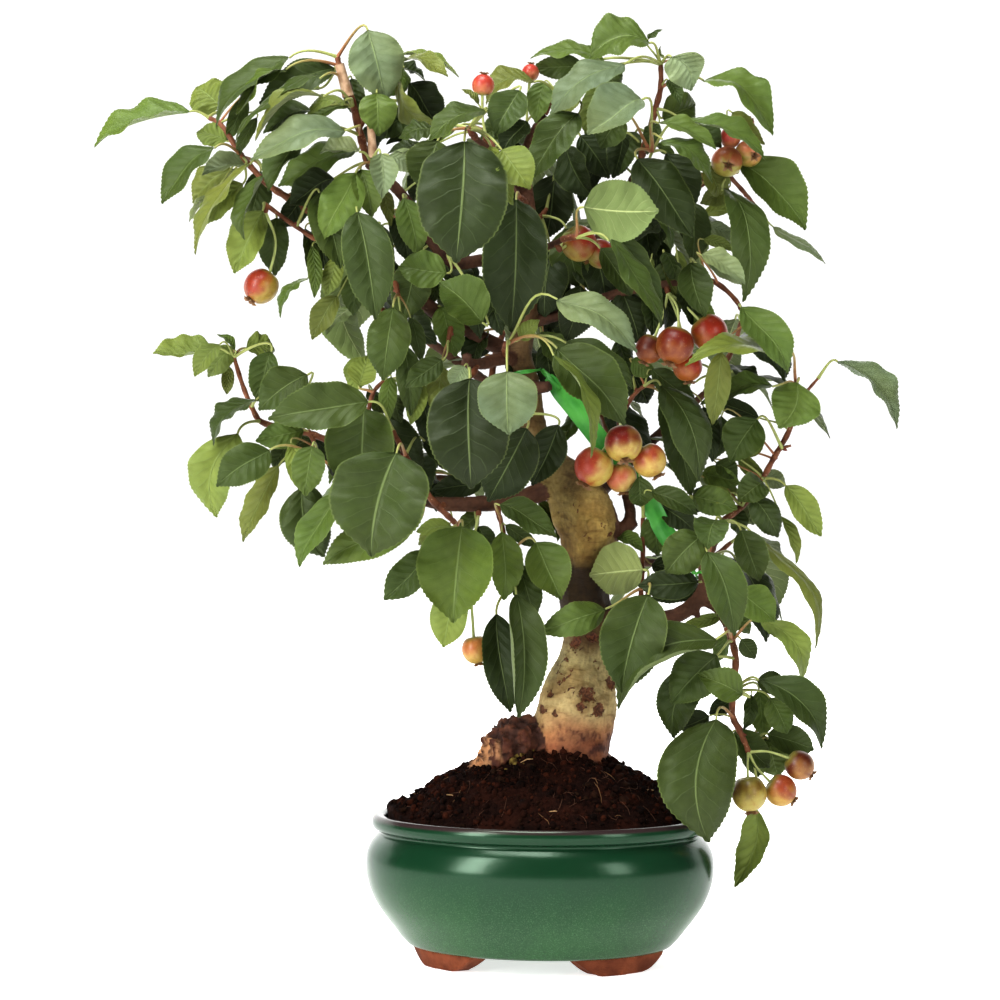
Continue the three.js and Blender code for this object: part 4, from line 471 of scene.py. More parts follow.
class Value:
    """A socket of a finish's node tree. Arithmetic on it adds Math nodes."""

    def __init__(self, finish, socket):
        self.finish, self.socket = finish, socket

    def math(self, operation, *others):
        return self.finish.node("ShaderNodeMath", {"operation": operation}, dict(enumerate((self, *others))))

    def __add__(self, other):
        return self.math("ADD", other)

    __radd__ = __add__

    def __mul__(self, other):
        return self.math("MULTIPLY", other)

    __rmul__ = __mul__

    def __sub__(self, other):
        return self.math("SUBTRACT", other)

    def __rsub__(self, other):
        return (self * -1.0).math("ADD", other)

    def smooth(self, low, high):
        """0 below low and 1 above high, with a smooth rise between them."""
        return self.finish.node("ShaderNodeMapRange", {"interpolation_type": "SMOOTHSTEP"},
                                {"Value": self, "From Min": low, "From Max": high})


class Finish:
    """A material whose node tree is written as expressions."""

    def __init__(self, name, shine, **constants):
        self.material = bpy.data.materials.new(name)
        self.material.use_nodes = True
        self.nodes = self.material.node_tree.nodes
        self.links = self.material.node_tree.links
        self.surface = self.nodes["Principled BSDF"]
        self.set("Specular IOR Level", shine)
        for socket, value in constants.items():
            self.surface.inputs[socket.replace("_", " ")].default_value = value

    def node(self, kind, settings=None, inputs=None, output=0):
        made = self.nodes.new(kind)
        for key, value in (settings or {}).items():
            setattr(made, key, value)
        for key, value in (inputs or {}).items():
            self.feed(made.inputs[key], value)
        return Value(self, made.outputs[output])

    def feed(self, socket, value):
        if isinstance(value, Value):
            self.links.new(value.socket, socket)
        else:
            socket.default_value = value

    def set(self, socket, value):
        self.feed(self.surface.inputs[socket], value)

    def mix(self, share, first, second, blend="MIX"):
        return self.node("ShaderNodeMix", {"data_type": "RGBA", "blend_type": blend},
                         {0: share, 6: first, 7: second}, output=2)

    def stained(self, share, colour, stain):
        """The colour, and where share is 1 the colour times the stain."""
        return self.mix(share, colour, self.mix(1.0, colour, stain, "MULTIPLY"))

    def noise(self, scale, detail=3.0, vector=None, **others):
        inputs = {"Scale": scale, "Detail": detail, "Vector": vector or self.place(), **others}
        return self.node("ShaderNodeTexNoise", None, inputs)

    def cells(self, scale, feature="F1", vector=None):
        return self.node("ShaderNodeTexVoronoi", {"feature": feature},
                         {"Scale": scale, "Vector": vector or self.place()})

    def place(self):
        return self.node("ShaderNodeTexCoord", output="Object")

    def tint(self):
        return self.node("ShaderNodeAttribute", {"attribute_name": "tint"}, output="Color")

    def parts(self, vector):
        """The X, Y and Z of a vector."""
        split = self.nodes.new("ShaderNodeSeparateXYZ")
        self.feed(split.inputs[0], vector)
        return [Value(self, output) for output in split.outputs]

    def along_and_across(self):
        """The two coordinates of the piece's own map: 0 to 1 along it, and -1 to 1 across it."""
        along, across, _ = self.parts(self.node("ShaderNodeUVMap", {"uv_map": "shape"}))
        return along, across * 2.0 - 1.0

    def stretched(self, x, y, z):
        """Object coordinates scaled unevenly, so that a pattern is drawn out along an axis."""
        return self.node("ShaderNodeMapping", None, {"Vector": self.place(), "Scale": (x, y, z)})

    def laid(self, colour, roughness, height, distance, strength=1.0):
        """The material with its colour and roughness, raised by height times distance, in metres."""
        self.set("Base Color", colour)
        self.set("Roughness", roughness)
        self.set("Normal", self.node("ShaderNodeBump", None, {
            "Height": height, "Distance": distance, "Strength": strength}))
        return self.material


def leaf_veins(finish):
    """A blade's masks: midrib, side veins, the fine net, how far out it is, and its swell between veins."""
    along, across = finish.along_and_across()
    out = across.math("ABSOLUTE")
    midrib = 1.0 - out.smooth(0.01, 0.04)
    wander = finish.noise(48.0, 2.0) - 0.5
    course = (along - out * 0.3 + out * out * 0.08 + wander * 0.16) * 7.5
    apart = (course.math("FRACT") - 0.5).math("ABSOLUTE")
    side_veins = apart.smooth(0.44, 0.5) * (1.0 - out.smooth(0.55, 0.9))
    net = finish.cells(1300.0, "DISTANCE_TO_EDGE").smooth(0.0, 0.1)
    swell = 0.5 - (course * math.tau).math("COSINE") * (0.5 - out.smooth(0.7, 1.0) * 0.5)
    return midrib, side_veins, net, out, swell


def leaf_face_finish():
    finish = Finish("leaf face", 0.24, Specular_Tint=(0.9, 1, 0.82, 1), Coat_Roughness=0.5)
    midrib, side_veins, net, out, swell = leaf_veins(finish)
    mottle, broad = finish.noise(220.0, 4.0), finish.noise(32.0)
    colour = finish.stained(mottle.smooth(0.3, 0.75) * 0.5, finish.tint(), paint(214, 218, 190))
    colour = finish.stained(broad.smooth(0.35, 0.7) * 0.4, colour, paint(236, 226, 150))
    # Painted shade: the face is darker where it dips along the side veins.
    colour = finish.stained((1.0 - swell) * 0.16, colour, paint(186, 196, 172))
    veined = finish.mix(0.5, colour, paint(150, 168, 108))
    colour = finish.mix((side_veins * 0.12).math("MAXIMUM", midrib * 0.55), colour, veined)
    # Pale margin: partly the leaf's own paler edge, partly a painted highlight along it.
    colour = finish.mix(out.smooth(0.94, 1.0) * 0.3, colour, paint(132, 146, 82))
    finish.set("Coat Weight", broad.smooth(0.4, 0.7) * 0.12)
    height = swell * 0.6 + net * 0.14 + mottle * 0.5 - side_veins * 0.35 - midrib * 0.9
    return finish.laid(colour, 0.34 + mottle * 0.18, height, 0.0004, 0.9)


def leaf_back_finish():
    finish = Finish("leaf back", 0.25, Sheen_Weight=0.1, Sheen_Roughness=0.5)
    midrib, side_veins, net, _, swell = leaf_veins(finish)
    pale = finish.mix(0.3, finish.tint(), paint(140, 152, 102))
    colour = finish.mix((side_veins * 0.35).math("MAXIMUM", midrib * 0.9), pale, paint(168, 178, 122))
    colour = finish.mix((1.0 - net) * 0.2, colour, paint(92, 108, 62))
    height = side_veins * 0.8 + midrib * 0.9 - net * 0.3 - swell * 1.2
    return finish.laid(colour, 0.68, height, 0.0003, 0.9)


def stalk_finish():
    finish = Finish("leaf stalk", 0.4)
    streaks = finish.noise(240.0, 4.0, finish.stretched(1, 1, 0.25))
    colour = finish.stained(streaks.smooth(0.35, 0.75) * 0.4, finish.tint(), paint(200, 176, 140))
    return finish.laid(colour, 0.45 + streaks * 0.2, streaks, 0.0002, 0.6)


def young_wood_finish():
    finish = Finish("young wood", 0.35)
    grain = finish.noise(190.0, 5.0)
    pores = finish.cells(420.0).smooth(0.0, 0.22)
    colour = finish.stained(grain.smooth(0.3, 0.75), finish.tint(), paint(170, 150, 128))
    colour = finish.mix(1.0 - pores, colour, paint(178, 150, 116))
    return finish.laid(colour, 0.5 + grain * 0.3, grain + pores * 0.5, 0.0004, 0.8)


def bark_finish():
    finish = Finish("bark", 0.3)
    wrinkles = finish.noise(170.0, 6.0, finish.stretched(0.5, 0.5, 1.6), Distortion=0.6)
    patches = finish.noise(60.0, 5.0)
    fine = finish.noise(650.0, 4.0)
    scars = finish.cells(95.0, vector=finish.stretched(1, 1, 1.5)).smooth(0.03, 0.12)
    colour = finish.stained(patches.smooth(0.42, 0.62) * 0.6, finish.tint(), paint(188, 164, 132))
    colour = finish.stained(wrinkles.smooth(0.52, 0.7) * 0.5, colour, paint(168, 142, 112))
    colour = finish.mix((1.0 - scars) * 0.5, colour, paint(86, 58, 40))
    mask = finish.node("ShaderNodeAttribute", {"attribute_name": "scar"}, output="Fac")
    wound = (mask + finish.noise(210.0, 5.0) * 0.8).smooth(0.8, 0.9)
    colour = finish.mix(wound * 0.92, colour, finish.mix(
        fine.smooth(0.4, 0.6), paint(58, 26, 14), paint(104, 58, 34)))
    colour = finish.stained(fine.smooth(0.5, 0.75) * 0.4, colour, paint(186, 176, 150))
    height = wrinkles * 0.9 + scars * 0.6 + fine * 0.3 - wound * 0.8
    return finish.laid(colour, 0.62 + wrinkles * 0.25, height, 0.0009, 0.9)


def soil_finish():
    finish = Finish("potting soil", 0.05)
    crumbs, broad = finish.noise(420.0, 6.0, Roughness=0.65), finish.noise(70.0)
    colour = finish.stained(crumbs.smooth(0.35, 0.7), finish.tint(), paint(150, 128, 120))
    colour = finish.mix(broad.smooth(0.45, 0.7) * 0.35, colour, paint(58, 28, 17))
    return finish.laid(colour, 0.82 + crumbs * 0.15, crumbs, 0.0012)


def straw_finish():
    finish = Finish("straw and root fibre", 0.3)
    streaks = finish.noise(500.0)
    return finish.laid(finish.mix(streaks * 0.6, finish.tint(), paint(90, 62, 40)), 0.75, streaks, 0.0003)


def glaze_finish():
    """Deep green glaze, darker higher up and paler and speckled towards the foot."""
    finish = Finish("green glaze", 0.42, Specular_Tint=(0.6, 0.84, 0.64, 1), Coat_Roughness=0.05)
    height = finish.parts(finish.place())[2]
    speckle = finish.noise(1500.0, 4.0, Roughness=0.7)
    specks = 1.0 - finish.cells(430.0).smooth(0.06, 0.2)
    drift = finish.noise(35.0, 4.0, finish.stretched(1, 1, 0.45))
    level = height + drift * 0.012
    colour = finish.mix(level.smooth(0.022, 0.07), paint(36, 69, 37), paint(14, 48, 28))
    colour = finish.mix(drift.smooth(0.4, 0.65) * 0.35, colour, paint(23, 48, 30))
    colour = finish.mix(speckle.smooth(0.5, 0.66) * (1.0 - level.smooth(0.03, 0.07)) * 0.8,
                        colour, paint(66, 97, 66))
    colour = finish.mix(specks * (1.0 - level.smooth(0.03, 0.085)) * 0.7, colour, paint(18, 36, 24))
    rim_line = height.smooth(0.0792, 0.0806)
    colour = finish.mix(rim_line * 0.85, colour, paint(52, 34, 38))
    finish.set("Coat Weight", drift * 0.1)
    return finish.laid(colour, 0.15 + speckle * 0.12, drift * 0.7 + speckle * 0.08, 0.0007, 0.4)


def clay_finish():
    finish = Finish("bare clay", 0.2)
    grit, patches = finish.noise(800.0, 5.0, Roughness=0.7), finish.noise(90.0, 4.0)
    colour = finish.mix(patches.smooth(0.35, 0.65), paint(98, 50, 30), paint(128, 70, 44))
    colour = finish.mix(grit.smooth(0.55, 0.75) * 0.6, colour, paint(86, 44, 32))
    return finish.laid(colour, 0.8 + grit * 0.15, grit + patches * 0.6, 0.0007)


def apple_finish():
    finish = Finish("apple skin", 0.35, Coat_Roughness=0.2)
    streaks = finish.noise(330.0, 4.0, Distortion=0.4)
    dots = 1.0 - finish.cells(850.0).smooth(0.05, 0.16)
    colour = finish.stained(streaks.smooth(0.4, 0.7) * 0.4, finish.tint(), paint(214, 150, 120))
    colour = finish.mix(dots * 0.5, colour, paint(214, 178, 112))
    finish.set("Coat Weight", streaks * 0.2)
    return finish.laid(colour, 0.33 + streaks * 0.16, streaks * 0.5 + dots * 0.4, 0.00012, 0.7)


def strip_finish():
    finish = Finish("green strip", 0.5)
    weave, folds = finish.noise(700.0, 3.0, finish.stretched(1, 1, 0.2)), finish.noise(90.0)
    # Painted shade: the strip is darker where its folds sink.
    colour = finish.mix(folds.smooth(0.3, 0.7), paint(46, 124, 42), paint(78, 156, 62))
    return finish.laid(colour, 0.32 + weave * 0.2, folds + weave * 0.15, 0.0006, 0.7)


def net_finish():
    finish = Finish("drain net", 0.4)
    colour = finish.mix(finish.noise(300.0), paint(24, 26, 28), paint(44, 47, 50))
    return finish.laid(colour, 0.5, finish.noise(900.0), 0.0002, 0.5)


FINISHES = {
    "face": leaf_face_finish(), "back": leaf_back_finish(), "stalk": stalk_finish(),
    "young wood": young_wood_finish(), "bark": bark_finish(), "soil": soil_finish(),
    "straw": straw_finish(), "glaze": glaze_finish(), "clay": clay_finish(), "apple": apple_finish(),
    "strip": strip_finish(), "net": net_finish(),
}

# ---- curves, templates and pieces


def curve_point(points, share):
    """The point at share 0 to 1 of a smooth curve through the points, with centripetal spacing."""
    last = len(points) - 1
    span = min(int(share * last), last - 1)
    weight = share * last - span
    start, end = points[span], points[span + 1]
    before = points[span - 1] if span > 0 else 2 * start - end
    after = points[span + 2] if span + 2 <= last else 2 * end - start
    gaps = [math.sqrt((b - a).length) for a, b in ((before, start), (start, end), (end, after))]
    leave = ((start - before) / gaps[0] - (end - before) / (gaps[0] + gaps[1])
             + (end - start) / gaps[1]) * gaps[1]
    arrive = ((end - start) / gaps[1] - (after - start) / (gaps[1] + gaps[2])
              + (after - end) / gaps[2]) * gaps[1]
    square, cube = weight ** 2, weight ** 3
    return (start * (1 - 3 * square + 2 * cube) + end * (3 * square - 2 * cube)
            + leave * (weight - 2 * square + cube) + arrive * (cube - square))


def smooth_run(rows, steps):
    """Points and radii along a limb or stem whose rows end in a radius, steps to each span."""
    points = [spot(*row[:3]) if len(row) == 4 else row[0] for row in rows]
    radii = [row[-1] for row in rows]
    count = steps * (len(rows) - 1)
    shares = [i / count for i in range(count + 1)]
    thickness = np.interp([s * (len(rows) - 1) for s in shares], range(len(rows)), radii)
    return [curve_point(points, s) for s in shares], thickness


def blended(first, second, share):
    """A blend of two colours or measures: the first at share 0, the second at share 1."""
    return np.asarray(first) * (1 - share) + np.asarray(second) * share


def bezier_run(ends, handles, count):
    """Points along the curve that leaves one end and meets the other by the two handles."""
    run = []
    for i in range(count + 1):
        t = i / count
        run.append(ends[0] * (1 - t) ** 3 + handles[0] * 3 * t * (1 - t) ** 2
                   + handles[1] * 3 * t * t * (1 - t) + ends[1] * t ** 3)
    return run


class Template:
    """The points, corners and faces of a bmesh, ready to be copied into a piece."""

    def __init__(self, shape):
        mesh = bpy.data.meshes.new("template")
        shape.to_mesh(mesh)
        shape.free()
        self.points = read(mesh.vertices, "co", 3)
        self.corners = read(mesh.loops, "vertex_index", 1).astype(int)
        self.sizes = read(mesh.polygons, "loop_total", 1).astype(int)
        self.groups = read(mesh.polygons, "material_index", 1).astype(int)
        bpy.data.meshes.remove(mesh)


def read(items, name, width):
    values = np.empty(len(items) * width)
    items.foreach_get(name, values)
    return values.reshape(-1, width) if width > 1 else values


def lying_along(axis):
    """The matrix that lays an upright form along the axis."""
    return np.array(Vector((0, 0, 1)).rotation_difference(axis).to_matrix())


def lay_tints(mesh, tints):
    mesh.color_attributes.new("tint", "FLOAT_COLOR", "POINT").data.foreach_set("color", tints.ravel())
    mesh.polygons.foreach_set("use_smooth", np.ones(len(mesh.polygons), bool))


def tree_of(points):
    """A search tree of points, each under its number in the list."""
    tree = KDTree(len(points))
    for i, point in enumerate(points):
        tree.insert(point, i)
    tree.balance()
    return tree


class Piece:
    """A mesh gathered from shaped copies of templates, in millimetres in the pot's frame."""

    def __init__(self, name, slot, finishes, replaces=()):
        self.name, self.slot, self.finishes, self.replaces = name, slot, finishes, replaces
        self.points, self.tints, self.maps = [], [], []
        self.corners, self.sizes, self.groups = [], [], []
        self.count = 0

    def add(self, template, points, tint, shape_map=None, group=0):
        """Adds a copy of the template with its points laid anew. tint is one colour, or one a point."""
        self.points.append(points)
        self.tints.append(np.broadcast_to(np.asarray(tint, float), (len(points), 4)))
        maps = np.zeros((len(points), 2)) if shape_map is None else shape_map
        self.maps.append(maps[template.corners])
        self.corners.append(template.corners + self.count)
        self.sizes.append(template.sizes)
        self.groups.append(template.groups + group)
        self.count += len(points)

    def mesh(self):
        points = np.concatenate(self.points) * MM + np.array(POT_PLACE)
        corners = np.concatenate(self.corners)
        sizes = np.concatenate(self.sizes)
        mesh = bpy.data.meshes.new(self.name)
        mesh.vertices.add(len(points))
        mesh.vertices.foreach_set("co", points.ravel())
        mesh.loops.add(len(corners))
        mesh.loops.foreach_set("vertex_index", corners)
        mesh.polygons.add(len(sizes))
        mesh.polygons.foreach_set("loop_start", np.cumsum(sizes) - sizes)
        mesh.polygons.foreach_set("material_index", np.concatenate(self.groups))
        mesh.uv_layers.new(name="shape").uv.foreach_set("vector", np.concatenate(self.maps).ravel())
        lay_tints(mesh, np.concatenate(self.tints))
        mesh.update(calc_edges=True)
        mesh.validate()
        return mesh

    def finish(self, sharp):
        """Places the piece. Edges that turn by more than sharp degrees stay sharp."""
        mesh = self.mesh()
        mesh.set_sharp_from_angle(angle=math.radians(sharp))
        place_piece(self.name, mesh, self.slot, self.finishes, self.replaces)


def place_piece(name, mesh, slot, finishes, replaces=()):
    for finish in finishes:
        mesh.materials.append(FINISHES[finish])
    piece = add_object(name, mesh)
    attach(piece, "root")
    if replaces:
        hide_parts(*replaces)


def spun(outline, steps, around, weld):
    """A form spun round Z from a smooth line through the radii and heights of its outline."""
    points = [Vector((radius, 0, height)) for radius, height in outline]
    shape = bmesh.new()
    chain = [shape.verts.new(curve_point(points, i / steps)) for i in range(steps + 1)]
    edges = [shape.edges.new(pair) for pair in zip(chain, chain[1:])]
    bmesh.ops.spin(shape, geom=chain + edges, cent=(0, 0, 0), axis=(0, 0, 1), dvec=(0, 0, 0),
                   angle=math.tau, steps=around, use_merge=True)
    bmesh.ops.remove_doubles(shape, verts=shape.verts, dist=weld)
    bmesh.ops.recalc_face_normals(shape, faces=shape.faces)
    return shape


def draw_out(shape, steps):
    """Draws a bare ring out into a tube whose rings stand 1 apart, and returns the last ring's edges."""
    edges = shape.edges[:]
    for _ in range(steps):
        grown = bmesh.ops.extrude_edge_only(shape, edges=edges)["geom"]
        edges = [item for item in grown if isinstance(item, bmesh.types.BMEdge)]
        corners = {corner for edge in edges for corner in edge.verts}
        bmesh.ops.translate(shape, vec=(0, 0, 1), verts=list(corners))
    return edges


def tube_template(sides, rings):
    """A straight tube of radius 1 whose rings stand 1 apart, closed at both ends."""
    shape = bmesh.new()
    bmesh.ops.create_circle(shape, cap_ends=True, segments=sides, radius=1)
    bmesh.ops.holes_fill(shape, edges=draw_out(shape, rings - 1), sides=sides)
    bmesh.ops.recalc_face_normals(shape, faces=shape.faces)
    return Template(shape)


tube_templates = {}


def bend_tube(piece, run, radii, sides, tints, group=0, relief=None, flat=None):
    """A tube round the run of points. tints are its colours at both ends, and flat squeezes it."""
    key = (sides, len(run))
    if key not in tube_templates:
        tube_templates[key] = tube_template(*key)
    template = tube_templates[key]
    centres = np.array(run)
    ahead = np.gradient(centres, axis=0)
    ahead /= np.linalg.norm(ahead, axis=1)[:, None]
    across = np.empty_like(centres)
    first = np.cross((0, 1, 0), ahead[0])
    if np.linalg.norm(first) < 0.3:
        first = np.cross((1, 0, 0), ahead[0])
    for i, direction in enumerate(ahead):
        first = first - direction * first.dot(direction)
        first /= np.linalg.norm(first)
        across[i] = first
    side = np.cross(across, ahead)
    ring = np.rint(template.points[:, 2]).astype(int)
    x, y = template.points[:, :1], template.points[:, 1:2]
    reach = np.asarray(radii, float)[ring][:, None]
    if relief is not None:
        reach = reach * relief(np.arctan2(y, x), centres[ring][:, 2:])
    if flat is not None:
        y = y * flat
    points = centres[ring] + across[ring] * x * reach + side[ring] * y * reach
    share = (ring / (len(run) - 1))[:, None]
    tint = blended(*tints, share)
    around = np.arctan2(template.points[:, 1], template.points[:, 0]) / math.pi / 2 + 0.5
    piece.add(template, points, tint, np.stack([share[:, 0], around], axis=1), group)


# ---- pot, nets and soil

# The wall's outline, up the outside, over the rim and down the inside: how far in from the widest part
# of the belly, and how high.
WALL = [
    (25, 10), (20.6, 13.6), (15.5, 20), (9.8, 27.4), (5.5, 34), (1.5, 44), (0, 55), (0.9, 61.5), (3.5, 67),
    (6.6, 70.6), (7.8, 72), (7.3, 73.2), (5, 74.2), (3.6, 76.6), (3.8, 79.6), (5.6, 81.9), (8, 82.1),
    (10.3, 81.4), (11.3, 78), (12.5, 72), (8.6, 62), (8, 56), (10, 45), (14, 34), (21, 24), (30, 17.4),
    (38, 17),
]
# How much wider than the frame's the body and the ring of feet are, and how far aside they stand.
BODY_WIDER, BODY_ASIDE = 1.01, -1.2
FEET_WIDER, FEET_ASIDE = 1.045, -0.6


def smooth_mesh(name, shape):
    for face in shape.faces:
        face.smooth = True
    mesh = bpy.data.meshes.new(name)
    shape.to_mesh(mesh)
    shape.free()
    return mesh


def turned(x, y, angle=POT["turn"]):
    """The place (x, y) turned about the pot's middle."""
    return x * math.cos(angle) - y * math.sin(angle), x * math.sin(angle) + y * math.cos(angle)


def add_pot_body():
    """The glazed wall and floor, spun from one outline, squeezed to the pot's oval and turned."""
    belly = POT["length"] / 2
    outline = [(0.01, 10), (30, 10), *((belly - inset, height) for inset, height in WALL), (0.01, 17)]
    shape = spun(outline, 4 * (len(outline) - 1), 160, 0.03)
    bmesh.ops.scale(shape, vec=(1, POT["depth"] / POT["length"], 1), verts=shape.verts)
    bmesh.ops.rotate(shape, cent=(0, 0, 0), verts=shape.verts,
                     matrix=Quaternion((0, 0, 1), POT["turn"]).to_matrix())
    bmesh.ops.scale(shape, vec=(BODY_WIDER, 1, 1), verts=shape.verts)
    bmesh.ops.translate(shape, vec=(BODY_ASIDE, 0, 0), verts=shape.verts)
    bmesh.ops.scale(shape, vec=(MM, MM, MM), verts=shape.verts)
    bmesh.ops.translate(shape, vec=POT_PLACE, verts=shape.verts)
    place_piece("pot_body", smooth_mesh("pot_body", shape), "glaze", ["glaze"], ["pot"])


def foot_template():
    """One cloud foot at angle 0: an arc whose underside sweeps up at both ends, with rounded edges."""
    span = math.radians(55)
    outer, inner = 70, 51  # radii of the arc
    flat = 0.42  # share of the underside that stands on the ground
    top = POT["foot"] + 1.6
    shape = bmesh.new()
    bmesh.ops.create_cube(shape, size=1)
    along = [edge for edge in shape.edges if abs(edge.verts[0].co.x - edge.verts[1].co.x) > 0.5]
    bmesh.ops.subdivide_edges(shape, edges=along, cuts=27, use_grid_fill=True)
    for corner in shape.verts:
        x, y, z = corner.co
        sweep = max(0.0, (abs(2 * x) - flat) / (1 - flat))
        height = top if z > 0 else POT["foot"] * sweep ** 1.7
        narrowing = 4 * (1 - height / top)
        reach = outer - narrowing if y > 0 else inner + narrowing
        corner.co = (reach * math.cos(x * span), -reach * math.sin(x * span), height)
    hard = [edge for edge in shape.edges if edge.calc_face_angle(0) > 0.6]
    bmesh.ops.bevel(shape, geom=hard, offset=0.9, affect="EDGES", segments=3, profile=0.5, material=-1)
    bmesh.ops.recalc_face_normals(shape, faces=shape.faces)
    return Template(shape)


def add_pot_feet():
    """Four clay cloud feet round the base."""
    piece = Piece("pot_feet", "glaze", ["clay"], ["pot"])
    foot = foot_template()
    for degrees in (40, 140, 220, 320):
        x, y, z = foot.points.T
        x, y = turned(x, y, math.radians(degrees))
        x, y = turned(x, y * POT["depth"] / POT["length"])
        points = np.stack([FEET_WIDER * x + FEET_ASIDE, y, np.maximum(z, 0)], axis=1)
        piece.add(foot, points, PLAIN)
    piece.finish(sharp=50)


def mound_height(x, y):
    across, deep = turned(x, y, -POT["turn"])
    out = min(1.0, math.hypot(across, deep * POT["length"] / POT["depth"]) / MOUND["radius"])
    swell = math.sin(x * 0.21 + y * 0.13) + math.sin(y * 0.27 - x * 0.11 + 2)
    return MOUND["edge"] + MOUND["crown"] * (1 - out ** 2.1) + MOUND["lumps"] * swell * (1 - out)


def rough_ground(x, y):
    """The mound's height with a ring heaped round the trunk, two heaps, clods and crumbs."""
    place = Vector((x, y, 0))
    heaped = (4.4 + 0.02 * x) * math.exp(-((math.hypot(x, 1.25 * y) - 44) / 34) ** 2)
    heaped += 9 * math.exp(-((x + 90) / 12) ** 2)
    heaped += 5 * math.exp(-((x - 2) / 24) ** 2 - ((y + 22) / 10) ** 2)
    clods = heaped + 1.6 * noise.noise(place * 0.09) + 1.1 * noise.noise(place * 0.23 + Vector((7, 0, 0)))
    crumbs = 1.0 * noise.noise(place * 0.6) + 0.6 * noise.noise(place * 1.3)
    return mound_height(x, y) + clods + crumbs


SOIL_BROWN = paint(28, 13, 8)
SOIL_TONES = [paint(26, 12, 7), paint(40, 18, 10), paint(18, 9, 6), paint(56, 27, 15), paint(36, 22, 13)]
MOSS = (-13, 113, 9)  # place of the moss on the elevation, and its reach
MOSS_GREEN = paint(120, 104, 54)
CRUMBS, FIBRES = 4200, 150
PALE_FIBRE, DARK_FIBRE, STRAW = paint(140, 104, 66), paint(70, 40, 25), paint(186, 152, 108)
# Straws on the mound: x and z of the middle, and how far each runs across and up.
STRAWS = [(-8, 112, 7, 2), (8, 83, 7, -1), (60, 95, 6, 1), (57, 78, 4, 2), (-50, 92, 6, -2)]
# Inside the pot the soil's flank goes down to the floor by these radii and heights.
FLANK = [(84.2, 71), (87.6, 60), (87.4, 54), (82, 35), (66, 19.6), (0, 19)]


def oval_place(radius, angle):
    """A point of the pot's oval, given on the round form before it is squeezed and turned."""
    return turned(radius * math.cos(angle), radius * math.sin(angle) * POT["depth"] / POT["length"])


def add_mound(piece):
    """The soil's rough top and its flank inside the pot, laid over a ball."""
    ball = bmesh.new()
    bmesh.ops.create_uvsphere(ball, u_segments=220, v_segments=130, radius=1)
    template = Template(ball)
    points = np.empty_like(template.points)
    for i, (x, y, z) in enumerate(template.points):
        angle = math.atan2(y, x)
        polar = math.acos(max(-1.0, min(1.0, z))) / math.pi
        if polar <= 0.62:
            radius = (FLANK[0][0] - 3.2 * min(0.0, math.cos(angle))) * min(1.0, polar / 0.6)
            px, py = oval_place(radius, angle)
            height = rough_ground(px, py)
            if polar > 0.6:
                height -= 3
            points[i] = (px, py, height)
        else:
            run = (polar - 0.62) / 0.38 * (len(FLANK) - 1)
            radius, height = (np.interp(run, range(len(FLANK)), column) for column in zip(*FLANK))
            points[i] = (*oval_place(radius, angle), height)
    piece.add(template, points, SOIL_BROWN)


def add_crumbs(piece, random):
    """Loose crumbs on the mound, some of them mossy in one place."""
    moss = spot(*MOSS[:2], ground_depth(*MOSS[:2]))
    crumb = bmesh.new()
    bmesh.ops.create_icosphere(crumb, subdivisions=1, radius=1)
    crumb = Template(crumb)
    for _ in range(CRUMBS):
        angle = random.uniform(0, math.tau)
        radius = 83 * math.sqrt(random.uniform(0, 1))
        x, y = oval_place(radius, angle)
        size = random.uniform(0.3, 0.85) + 1.7 * random.uniform(0, 1) ** 6
        stretch = random.uniform(0.6, 1.5, 3) * size
        turn = np.array(Quaternion(random.normal(size=4)).normalized().to_matrix())
        bumps = 1 + random.uniform(-0.25, 0.25, (len(crumb.points), 1))
        laid = (crumb.points * bumps * stretch) @ turn.T + (x, y, rough_ground(x, y) + 0.25 * size)
        tone = SOIL_TONES[random.integers(len(SOIL_TONES))]
        mossy = math.hypot(x - moss.x, y - moss.y) < MOSS[2] * random.uniform(0.4, 1.1)
        piece.add(crumb, laid, MOSS_GREEN if mossy else tone)


def add_fibres(piece, random):
    """Bent root threads on the mound, pale and dark."""
    for _ in range(FIBRES):
        angle = random.uniform(0, math.tau)
        x, y = oval_place(80 * math.sqrt(random.uniform(0, 1)), angle)
        heading = random.uniform(0, math.tau)
        length = random.uniform(3, 12)
        bow = random.uniform(-0.5, 0.5)
        run = []
        for share in (-0.5, -0.17, 0.17, 0.5):
            turn = heading + bow * share * 2
            px, py = x + length * share * math.cos(turn), y + length * share * math.sin(turn)
            run.append(Vector((px, py, rough_ground(px, py) + 0.5 + 0.8 * random.uniform(0, 1))))
        tone = PALE_FIBRE if random.uniform(0, 1) < 0.25 else DARK_FIBRE
        bend_tube(piece, run, [0.06, 0.14, 0.13, 0.05], 4, (tone, tone), group=1)


def add_straws(piece):
    for x, z, run_x, rise in STRAWS:
        depth = ground_depth(x, z)
        start, end = spot(x - run_x / 2, z - rise / 2, depth), spot(x + run_x / 2, z + rise / 2, depth + 1)
        middle = (start + end) / 2 + Vector((0, 0, 0.8))
        bend_tube(piece, [start, middle, end], [0.2, 0.34, 0.2], 5, (STRAW, STRAW), group=1)


def add_soil():
    piece = Piece("potting_soil", "soil", ["soil", "straw"], ["soil"])
    random = np.random.default_rng(SEEDS["soil"])
    add_mound(piece)
    add_crumbs(piece, random)
    add_fibres(piece, random)
    add_straws(piece)
    piece.finish(sharp=75)


def ground_depth(x, z):
    """How deep the mound's front lies where the eye meets it at (x, z)."""
    for step in range(-75, 40):
        point = spot(x, z, step)
        if rough_ground(point.x, point.y) >= point.z and math.hypot(point.x, point.y * 1.3) < 84:
            return step - 1.0
    return -40.0


def finish_nets():
    for name in ("drain_mesh_left", "drain_mesh_right"):
        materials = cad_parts[name].data.materials
        materials.clear()
        materials.append(FINISHES["net"])


# ---- the wood


def bark_relief(angle, height):
    return 1 + 0.05 * np.sin(3 * angle + 0.045 * height) + 0.035 * np.sin(5 * angle - 0.08 * height)


